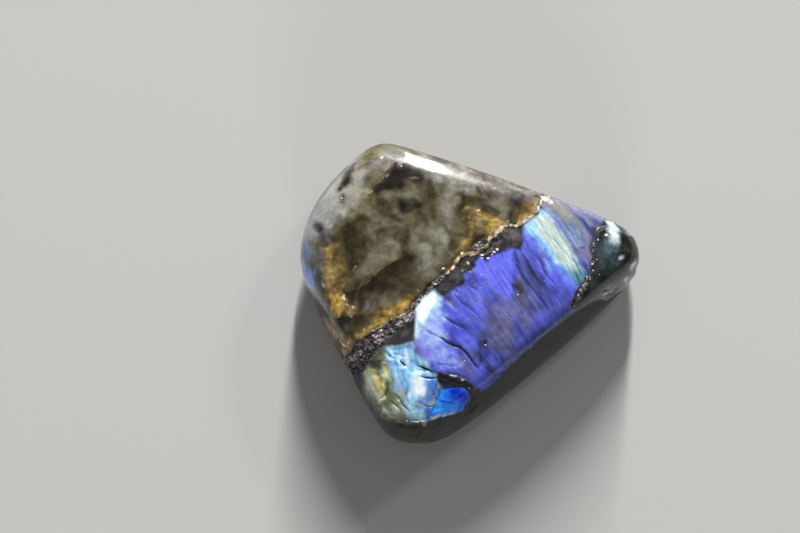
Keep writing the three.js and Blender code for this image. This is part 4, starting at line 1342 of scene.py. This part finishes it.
# %% Glazes
GLAZES = {  # dark end, light end, pattern, fraying, roughness
    "cloudy": ("#322b19", "#605941", "mottle", 0.2, 0.15),
    "milk_and_rim_sheen": ("#6a6654", "#86826f", "mottle", 0.3, 0.15),
    "rose_and_rim_sheen": ("#5e544e", "#968b84", "mottle", 0.3, 0.15),
    "chalk_and_sheen": ("#8e8c86", "#aeaca6", "mottle", 0.3, 0.15),
    "olive": ("#171305", "#40371a", "mottle", 0.3, 0.15),
    "umber_and_shade": ("#0c0902", "#2c2410", "mottle", 0.2, 0.15),
    "straw": ("#544b30", "#8c8158", "mottle", 0.2, 0.38),
    "amber": ("#6e561e", "#dab45c", "crumb", 0.2, 0.18),
    "mauve": ("#4a444e", "#7c7290", "mottle", 0.3, 0.15),
    "soot": ("#050403", "#221a14", "crumb", 0.3, 0.15),
    "rust": ("#1a1310", "#b09488", "grain", 0.5, 0.20),
    "dull_edge": ("#3a3822", "#585434", "mottle", 0.3, 0.62),
    "blue": ("#3f48b0", "#6670f4", "sheen", 0.2, 0.13),
    "veil": ("#45477a", "#6a6c9c", "sheen", 0.3, 0.14),
    "banding": ("#282d52", "#3f457c", "streak", 0.4, 0.13),
    "bright_blue": ("#5a5ee6", "#8088ff", "streak", 0.3, 0.13),
    "indigo": ("#323a88", "#585fc4", "sheen", 0.3, 0.13),
    "slate": ("#4f4f70", "#73719a", "sheen", 0.3, 0.14),
    "night_and_edge_shade": ("#1a1a30", "#34365c", "streak", 0.3, 0.14),
    "lavender": ("#8f98f0", "#b4d0ff", "sheen", 0.3, 0.13),
    "heather": ("#746fc6", "#a09ae4", "sheen", 0.3, 0.13),
    "sky": ("#6488ea", "#8cbef0", "streak", 0.2, 0.13),
    "cyan": ("#74b2dc", "#a8dff6", "streak", 0.3, 0.13),
    "pale_green": ("#adbcae", "#e2f2e4", "streak", 0.3, 0.14),
    "band_line": ("#56646c", "#7d8d90", "streak", 0.4, 0.14),
    "teal": ("#2c5c68", "#649a9c", "streak", 0.3, 0.14),
    "pearl": ("#58617c", "#7f8bac", "streak", 0.2, 0.14),
    "mist": ("#767470", "#94928e", "streak", 0.4, 0.14),
    "lilac": ("#6a6286", "#8a80a8", "streak", 0.3, 0.14),
    "frost_and_flank_sheen": ("#7690b8", "#a2bfdc", "streak", 0.3, 0.14),
    "iris": ("#2a3068", "#505aa8", "streak", 0.3, 0.14),
    "flare_rim": ("#9ad2f4", "#d2f2ff", "streak", 0.3, 0.12),
    "flare": ("#f6fcff", "#ffffff", "streak", 0.2, 0.12),
    "sage": ("#6a765e", "#a8b496", "mottle", 0.3, 0.15),
    "moss_and_shade": ("#2a2e1c", "#5a5c40", "crumb", 0.3, 0.16),
    "ice": ("#78bef4", "#c2eeff", "fibre", 0.3, 0.13),
    "pool": ("#1c48a8", "#5590ec", "fibre", 0.3, 0.13),
    "gold": ("#e8cf68", "#fff6b0", "mottle", 0.3, 0.16),
    "pale_edge": ("#d0e4c4", "#f8ffec", "mottle", 0.3, 0.15),
    "white_heat": ("#ecfcff", "#ffffff", "fibre", 0.3, 0.12),
    "azure": ("#1466fa", "#3ca8ff", "mottle", 0.2, 0.12),
    "cobalt": ("#0008b4", "#041cf4", "mottle", 0.3, 0.12),
    "dusk": ("#1c1a1b", "#4c484a", "crumb", 0.3, 0.18),
    "dusk_light": ("#4a4744", "#77736f", "mottle", 0.4, 0.18),
    "moss_spot": ("#17130a", "#4c421f", "mottle", 0.4, 0.18),
    "glass": ("#060b0a", "#18221f", "mottle", 0.2, 0.10),
    "steel_reflection": ("#44586a", "#7890a2", "mottle", 0.3, 0.10),
    "sea": ("#1e2e2c", "#425852", "mottle", 0.3, 0.10),
    "bronze": ("#2e2922", "#5e584c", "mottle", 0.3, 0.14),
    "painted_glint": ("#c4d8e6", "#f6fbff", "mottle", 0.2, 0.12),
    "dull_flash": ("#161b36", "#2c3874", "sheen", 0.4, 0.14),
    "edge_blue": ("#0858f0", "#3ca0ff", "mottle", 0.2, 0.14),
    "crack_shade": ("#030409", "#0b0d16", "mottle", 0.2, 0.18),
    "vein": ("#0c0a09", "#342e2b", "grain", 0.10, 0.70),
    "vein_pale": ("#2a2220", "#bcaaa7", "grain", 0.20, 0.70),
    "crust": ("#6e5128", "#f2dfc4", "grain", 0.14, 0.45),
    "crack": ("#040409", "#15151b", "mottle", 0.04, 0.40),
}
BY_DEPTH = ("vein", "vein_pale", "crust", "crack")  # hold 0.5 plus a depth; fraying in mm
assert set(GLAZES) == set(cover)
print(len(GLAZES), "glazes")

# %% [markdown]
# ### Patterns
#
# Each noise is worked out in millimetres. Mottling is in 2.4 mm clouds and the veins' grain in 0.7
# mm cells. Lamellae are a thousand times too thin to see, so what the streaks show is the misfits
# between whole packets of them, drawn as coarse as they need to show: 14 mm long and 0.6 mm wide,
# with hairlines half as wide.

# %% Patterns
LUMPS_PER_MM = {"mottle": 0.42, "fray": 1.1, "grain": 1.4}
STREAKS_PER_MM = (0.07, 1.6, 0.5)  # along the lamellae, across them and through the stone
HAIRS_PER_MM = (0.10, 3.4, 0.6)
FIBRES_PER_MM, FIBRE_TURN = (1.3, 0.3, 0.6), 0.15  # the turn is in radians
FRAY_REACH = 3.0  # the fraying noise runs from -3 to 3, and each glaze sets its share
STREAK_SHARE = 0.4  # of a sheen, and the rest is mottling
DARK_BIAS = 2.2  # above 1 there is more dark grain than pale

labradorite = bpy.data.materials.new("labradorite")
labradorite.use_nodes = True
tree = labradorite.node_tree
tree.nodes.clear()
place = node(tree, "TexCoord").outputs["Object"]
place_mm = node(tree, "VectorMath", {0: place, 1: (1 / MM,) * 3}, operation="MULTIPLY")
place_mm = place_mm.outputs[0]
lamella_place = node(tree, "Attribute", attribute_name="lamella").outputs["Vector"]
streak_place = node(tree, "VectorMath", {0: lamella_place, 1: STREAKS_PER_MM},
                    operation="MULTIPLY").outputs[0]
hair_place = node(tree, "VectorMath", {0: lamella_place, 1: HAIRS_PER_MM},
                  operation="MULTIPLY").outputs[0]
mottle = node(tree, "TexNoise", {"Vector": place_mm, "Scale": LUMPS_PER_MM["mottle"],
                                 "Detail": 4.0, "Roughness": 0.5, "Distortion": 0.4})
streak = node(tree, "TexNoise", {"Vector": streak_place, "Scale": 1.0, "Detail": 6.0,
                                 "Roughness": 0.6})
hair = node(tree, "TexNoise", {"Vector": hair_place, "Scale": 1.0, "Detail": 2.0})
frayed = node(tree, "TexNoise", {"Vector": place_mm, "Scale": LUMPS_PER_MM["fray"],
                                 "Detail": 4.0, "Roughness": 0.55})
grain = node(tree, "TexVoronoi", {"Vector": place_mm, "Scale": LUMPS_PER_MM["grain"],
                                  "Randomness": 1.0})
fibre_place = node(tree, "Mapping", {0: place_mm, "Rotation": (0, 0, FIBRE_TURN),
                                     "Scale": FIBRES_PER_MM}).outputs[0]
fibre = node(tree, "TexNoise", {"Vector": fibre_place, "Scale": 1.0, "Detail": 5.0,
                                "Roughness": 0.6, "Distortion": 0.3})
grain_shade = node(tree, "SeparateColor", {0: grain.outputs["Color"]})
grain_tone = node(tree, "Math", {0: grain_shade.outputs[0], 1: DARK_BIAS}, operation="POWER")
both = node(tree, "Math", {0: mottle.outputs[0], 1: frayed.outputs[0]}, operation="ADD")
sheen = node(tree, "Mix", {0: STREAK_SHARE, 2: mottle.outputs[0],
                           3: streak.outputs[0]}).outputs[0]
tones = {  # noise seldom leaves its middle third, which is stretched over a glaze's two ends
    "mottle": node(tree, "MapRange", {0: mottle.outputs[0], 1: 0.36, 2: 0.66}).outputs[0],
    "streak": node(tree, "MapRange", {0: streak.outputs[0], 1: 0.34, 2: 0.66}).outputs[0],
    "sheen": node(tree, "MapRange", {0: sheen, 1: 0.38, 2: 0.62}).outputs[0],
    "crumb": node(tree, "MapRange", {0: both.outputs[0], 1: 0.74, 2: 1.28}).outputs[0],
    "fibre": node(tree, "MapRange", {0: fibre.outputs[0], 1: 0.36, 2: 0.64}).outputs[0],
    "grain": grain_tone.outputs[0],
}
signed_fray = node(tree, "MapRange", {0: frayed.outputs[0], 1: 0.3, 2: 0.7, 3: -FRAY_REACH,
                                      4: FRAY_REACH}, clamp=False).outputs[0]
print(len(tones), "patterns")

# %% [markdown]
# ### Layers
#
# The body colour is the dark clear feldspar of the sides, kept near black so that it also holds
# painted shade and the sides stay as dark as shaded walls. Fraying only moves a cover where it
# is between 0 and 1, so that no stain starts in bare stone. The veins and cracks are sharp
# instead: they start where their depth passes 0.

# %% Layer the glazes
POLISH = 0.15  # roughness of the polished feldspar
# Near black: the feldspar's own dark colour with painted shade for the sides.
BODY_AND_SHADE_DARK, BODY_AND_SHADE_LIGHT = "#0e0e0a", "#292922"
EDGE_FROM, EDGE_TO = 0.45, 0.55  # mm of depth, plus a half, over which a sharp edge closes
body_tone = node(tree, "MapRange", {0: mottle.outputs[0], 1: 0.35, 2: 0.7}).outputs[0]
colour = node(tree, "Mix", {0: body_tone, 6: linear(BODY_AND_SHADE_DARK), 7: linear(BODY_AND_SHADE_LIGHT)},
              data_type="RGBA").outputs[2]
roughness = POLISH
for name, (dark, light, pattern, fraying, gloss) in GLAZES.items():
    drawn = node(tree, "Attribute", attribute_name=name).outputs["Fac"]
    bare = node(tree, "Math", {0: 1.0, 1: drawn}, operation="SUBTRACT").outputs[0]
    hump = node(tree, "Math", {0: drawn, 1: bare}, operation="MULTIPLY").outputs[0]
    push = node(tree, "Math", {0: hump, 1: signed_fray}, operation="MULTIPLY").outputs[0]
    covered = node(tree, "Math", {0: push, 1: fraying, 2: drawn}, operation="MULTIPLY_ADD",
                   use_clamp=True).outputs[0]
    if name in BY_DEPTH:
        edge = node(tree, "Math", {0: signed_fray, 1: 0.5 * fraying, 2: drawn},
                    operation="MULTIPLY_ADD").outputs[0]
        covered = node(tree, "MapRange", {0: edge, 1: EDGE_FROM, 2: EDGE_TO}).outputs[0]
    glaze = node(tree, "Mix", {0: tones[pattern], 6: linear(dark), 7: linear(light)},
                 data_type="RGBA").outputs[2]
    colour = node(tree, "Mix", {0: covered, 6: colour, 7: glaze}, data_type="RGBA").outputs[2]
    roughness = node(tree, "Mix", {0: covered, 2: roughness, 3: gloss}).outputs[0]
print(len(tree.nodes), "nodes so far")

# %% [markdown]
# ### Hairlines, flecks and grit
#
# Dark hairlines cross the flash, but not its white part. Fine flecks make every colour up to an
# eighth lighter or darker. The bump is only a swell too low to feel, and the grit's pits in the
# veins.

# %% Hairlines, flecks and bump
HAIRLINE, HAIRLINE_SHARE = "#2c2f66", 0.4  # its colour, and how far it covers the flash
FLASH_FLECK, CLOUDY_FLECK = 0.04, 0.03  # share of the brightness, times a noise from -3 to 3
BUMP_HEIGHT, BUMP_STRENGTH = 0.2 * MM, 0.6
SWELL_SHARE = 0.12  # of the bump's height, for the swell of the polished skin
FELDSPAR_IOR = 1.56
flash_cover = node(tree, "Attribute", attribute_name="blue").outputs["Fac"]
hairline = node(tree, "MapRange", {0: hair.outputs[0], 1: 0.40, 2: 0.33, 3: 0.0,
                                   4: HAIRLINE_SHARE})
white_cover = node(tree, "Attribute", attribute_name="flare").outputs["Fac"]
no_white = node(tree, "Math", {0: flash_cover, 1: white_cover}, operation="SUBTRACT",
                use_clamp=True)
hairline = node(tree, "Math", {0: hairline.outputs[0], 1: no_white.outputs[0]},
                operation="MULTIPLY")
colour = node(tree, "Mix", {0: hairline.outputs[0], 6: colour, 7: linear(HAIRLINE)},
              data_type="RGBA").outputs[2]
cloudy_cover = node(tree, "Attribute", attribute_name="cloudy").outputs["Fac"]
depth_of_fleck = node(tree, "MapRange", {0: cloudy_cover, 3: FLASH_FLECK,
                                         4: CLOUDY_FLECK}).outputs[0]
fleck = node(tree, "Math", {0: signed_fray, 1: depth_of_fleck, 2: 1.0}, operation="MULTIPLY_ADD")
shade = node(tree, "VectorMath", {0: colour, "Scale": fleck.outputs[0]}, operation="SCALE")
vein_cover = node(tree, "Attribute", attribute_name="vein").outputs["Fac"]
vein_cover = node(tree, "MapRange", {0: vein_cover, 1: 0.45, 2: 0.6}).outputs[0]
pit = node(tree, "Math", {0: grain.outputs["Distance"], 1: vein_cover}, operation="MULTIPLY")
swell = node(tree, "Math", {0: mottle.outputs[0], 1: SWELL_SHARE, 2: pit.outputs[0]},
             operation="MULTIPLY_ADD")
bump = node(tree, "Bump", {"Strength": BUMP_STRENGTH, "Distance": BUMP_HEIGHT,
                           "Height": swell.outputs[0]})
shader = node(tree, "BsdfPrincipled", {"Base Color": shade.outputs[0], "Roughness": roughness,
                                       "IOR": FELDSPAR_IOR, "Normal": bump.outputs[0]})
node(tree, "OutputMaterial", {"Surface": shader.outputs[0]})
stone_mesh.materials.append(labradorite)
print(len(tree.nodes), "nodes in", labradorite.name)

# %% [markdown]
# ## Grit in the veins
#
# The crushed filling is broken feldspar, pinkish white to nearly black, in grains from 0.2 to 1 mm
# across. Each grain is a small faceted lump sunk to about two thirds of its height in the vein,
# which gives the glitter that a texture can't. Most are strewn at random over the veins. The ones
# that stand out are placed one by one, and so are the small pale specks in the flashing half,
# level with the polish.

# %% Choose the grains
STREWN = 1500
SMALLEST, LARGEST = 0.10, 0.32  # mm from a grain's middle to its corners
COARSE_SHARE, COARSER = 0.1, 1.7  # one grain in ten is that much larger
random = np.random.default_rng(7)
in_vein = np.flatnonzero((vein_depth > 0.02) & (height_above_flat > 0.8))
chance = (0.15 + fade(pale_depth[in_vein], -0.2, 0.2)) * (1 - 0.5 * (true_map[in_vein, 0] > 15))
chosen = random.choice(in_vein, STREWN, p=chance / chance.sum())
grain_sizes = random.uniform(SMALLEST, LARGEST, len(chosen))
grain_sizes = grain_sizes * np.where(random.random(len(chosen)) < COARSE_SHARE, COARSER, 1)
paleness = 0.25 + 0.75 * fade(pale_depth[chosen], -0.2, 0.2)
grain_tones = 0.9 * random.random(len(chosen)) ** 1.5 * paleness  # 0 is nearly black, 1 is white
# Across and up on the map, and from the middle to the corners, all in mm.
LARGE_GRAINS = [(24.3, 10.4, 0.5), (22.8, 9.6, 0.25), (22.1, 8.8, 0.2), (22.2, 6.3, 0.25),
                (22.7, 6.0, 0.2), (21.8, 5.2, 0.34), (21.1, 4.6, 0.25), (22.0, 4.1, 0.25),
                (20.9, 3.0, 0.22), (21.4, 2.6, 0.2), (20.6, 2.0, 0.22), (20.3, 1.3, 0.25),
                (20.4, 0.7, 0.2), (19.5, -0.2, 0.4), (3.2, 6.2, 0.4), (2.3, 6.2, 0.3),
                (4.3, 7.3, 0.4), (4.8, 7.7, 0.4), (3.9, 6.9, 0.25), (-12.3, 22.7, 0.28)]
SPECKS = [(2.1, 3.4, 0.2), (1.9, 1.0, 0.15), (0.8, 1.5, 0.1), (6.4, -3.8, 0.22), (9.9, -4.0, 0.15),
          (-1.0, -12.1, 0.18), (-1.9, -3.8, 0.12), (18.7, 3.6, 0.24), (23.1, 3.3, 0.16),
          (13.3, 2.2, 0.14), (13.6, 5.3, 0.14), (14.1, 4.9, 0.12), (8.7, -0.2, 0.26),
          (2.8, -9.4, 0.2), (2.0, -13.4, 0.15), (-9.4, 0.5, 0.14), (13.9, 5.6, 0.1),
          (13.2, 6.1, 0.1), (18.9, 10.2, 0.14), (17.9, 7.0, 0.12), (-12.2, -11.5, 0.12)]


def nearest_point(across, up):
    """The point of the display face that shows at a place on the map."""
    away = ((true_map - (across, up)) ** 2).sum(1) + 1e3 * (seen < 0.3)
    return int(away.argmin())


hand_set = [nearest_point(a, u) for a, u, _ in LARGE_GRAINS + SPECKS]
chosen = np.concatenate([chosen, hand_set])
grain_sizes = np.concatenate([grain_sizes, [size for *_, size in LARGE_GRAINS + SPECKS]])
grain_tones = np.concatenate([grain_tones, np.full(len(hand_set), 1.0)])
print(len(chosen), "grains")

# %% [markdown]
# ### Shape of a grain
#
# A grain starts as an icosahedron, which has twelve corners and twenty faces. Each corner is
# pushed in or out, and the whole is stretched, so no two are alike. The wheel cut them with the
# stone, so none stands out of the polish.

# %% Shape the grains
SUNK = 0.35  # how far the middle lies below the vein's surface, as a share of the size
CUT_BELOW = 0.03  # mm below the ground skin
GOLDEN = (1 + 5**0.5) / 2
signs = [(a, b) for a in (-1, 1) for b in (-1, 1)]
corner_ways = np.array([(a, b * GOLDEN, 0) for a, b in signs]
                       + [(0, a, b * GOLDEN) for a, b in signs]
                       + [(a * GOLDEN, 0, b) for a, b in signs])
corner_ways /= np.linalg.norm(corner_ways, axis=1)[:, None]
near = ((corner_ways[:, None] - corner_ways) ** 2).sum(2) < 1.2  # joined by an edge
triples = [(i, j, k) for i in range(12) for j in range(i) for k in range(j)
           if near[i, j] and near[j, k] and near[i, k]]
triples = [t if np.linalg.det(corner_ways[list(t)]) > 0 else t[::-1] for t in triples]
lumpy = random.uniform(0.72, 1.15, (len(chosen), 12, 1))
stretch = random.uniform(0.6, 1.25, (len(chosen), 1, 3))
shapes = corner_ways * lumpy * stretch * grain_sizes[:, None, None]
middles = stone_points[chosen] - skin_ways[chosen] * (grain_sizes * SUNK)[:, None]
grain_points = (middles[:, None] + shapes).reshape(-1, 3)
grain_faces = (np.array(triples) + 12 * np.arange(len(chosen))[:, None, None]).reshape(-1, 3)
outside, way = skin(grain_points)
grain_points -= way * (outside + CUT_BELOW).clip(0)[:, None]
grains_mesh = bpy.data.meshes.new("vein_grains")
grains_mesh.from_pydata(((grain_points + to_frame) * MM).tolist(), [], grain_faces.tolist())
layer = grains_mesh.attributes.new("tone", "FLOAT", "POINT")
layer.data.foreach_set("value", np.repeat(grain_tones, 12).astype(np.float32))
grains = bpy.data.objects.new("vein_grains", grains_mesh)
bpy.context.scene.collection.objects.link(grains)
print(len(grain_faces), "grain triangles")

# %% [markdown]
# ### Crushed feldspar
#
# Broken feldspar splits along flat planes, each smooth but a little frosted by the wheel, so a
# grain gives a soft glint and not a mirror's. Its grey runs from dark grit to pinkish white.

# %% Crushed feldspar
GRIT_ROUGHNESS, GRIT_IOR = 0.35, 1.54
grit = bpy.data.materials.new("crushed_feldspar")
grit.use_nodes = True
tree = grit.node_tree
tree.nodes.clear()
tone = node(tree, "Attribute", attribute_name="tone").outputs["Fac"]
middle_shade = node(tree, "Mix", {0: tone, 6: linear("#1c1817"), 7: linear("#dccdca")},
                    data_type="RGBA")
shader = node(tree, "BsdfPrincipled", {"Base Color": middle_shade.outputs[2],
                                       "Roughness": GRIT_ROUGHNESS, "IOR": GRIT_IOR})
node(tree, "OutputMaterial", {"Surface": shader.outputs[0]})
grains_mesh.materials.append(grit)
print(len(tree.nodes), "nodes in", grit.name)

# %% [markdown]
# ## Light
#
# A polished stone shows its lamp as a shape, so the lamp's place decides where the white edge
# lies. A narrow tall lamp stands low behind the stone and lights the long far bevel. A small weak
# one finds the nose, and a broad low one in front keeps the near side from going black. All three
# are 3 m away, so that the floor between them is lit evenly. The floor is matt painted board.

# %% Stage
FLOOR_HALF = 2  # metres
FLOOR_ROUGHNESS = 0.9
SKY_STRENGTH = 0.21
floor_corners = [(x * FLOOR_HALF, y * FLOOR_HALF, 0)
                 for x, y in ((-1, -1), (1, -1), (1, 1), (-1, 1))]
floor_mesh = bpy.data.meshes.new("floor")
floor_mesh.from_pydata(floor_corners, [], [(0, 1, 2, 3)])
floor = bpy.data.objects.new("floor", floor_mesh)
bpy.context.scene.collection.objects.link(floor)
floor_paint = bpy.data.materials.new("floor_paint")
floor_paint.use_nodes = True
paint = floor_paint.node_tree.nodes["Principled BSDF"].inputs
paint["Base Color"].default_value = linear("#bdbcb9")
paint["Roughness"].default_value = FLOOR_ROUGHNESS
paint["Specular IOR Level"].default_value = 0.0
floor_mesh.materials.append(floor_paint)
world = bpy.context.scene.world or bpy.data.worlds.new("world")
bpy.context.scene.world = world
world.use_nodes = True
sky = world.node_tree.nodes["Background"].inputs
sky["Color"].default_value = linear("#e6e9ee")
sky["Strength"].default_value = SKY_STRENGTH
print("the floor is", 2 * FLOOR_HALF, "m wide")

# %% Lamps
LAMP_DISTANCE = 3.0
heart = Vector(to_frame) * MM


def lamp(name, compass, height, wide, tall, watts):
    """An oval soft lamp that looks at the stone's heart. Angles in degrees, sizes in metres."""
    data = bpy.data.lights.new(name, "AREA")
    data.shape, data.size, data.size_y, data.energy = "ELLIPSE", wide, tall, watts
    made = bpy.data.objects.new(name, data)
    around, lifted = math.radians(compass), math.radians(height)
    way = Vector((math.cos(around) * math.cos(lifted), math.sin(around) * math.cos(lifted),
                  math.sin(lifted)))
    made.location = heart + way * LAMP_DISTANCE
    made.rotation_mode = "QUATERNION"
    made.rotation_quaternion = (-way).to_track_quat("-Z", "Y")
    bpy.context.scene.collection.objects.link(made)


lamp("back_lamp", 84.0, 24.2, 0.20, 1.72, 180)
lamp("nose_lamp", 44, 34, 0.44, 0.44, 12.4)
lamp("front_lamp", 274, 15, 1.32, 0.52, 28)
bpy.context.scene.view_settings.view_transform = "Standard"
print("three lamps")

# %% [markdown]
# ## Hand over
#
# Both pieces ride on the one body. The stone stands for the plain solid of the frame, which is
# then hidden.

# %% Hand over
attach(stone, "root")
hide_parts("stone")
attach(grains, "root")
bpy.context.view_layer.update()
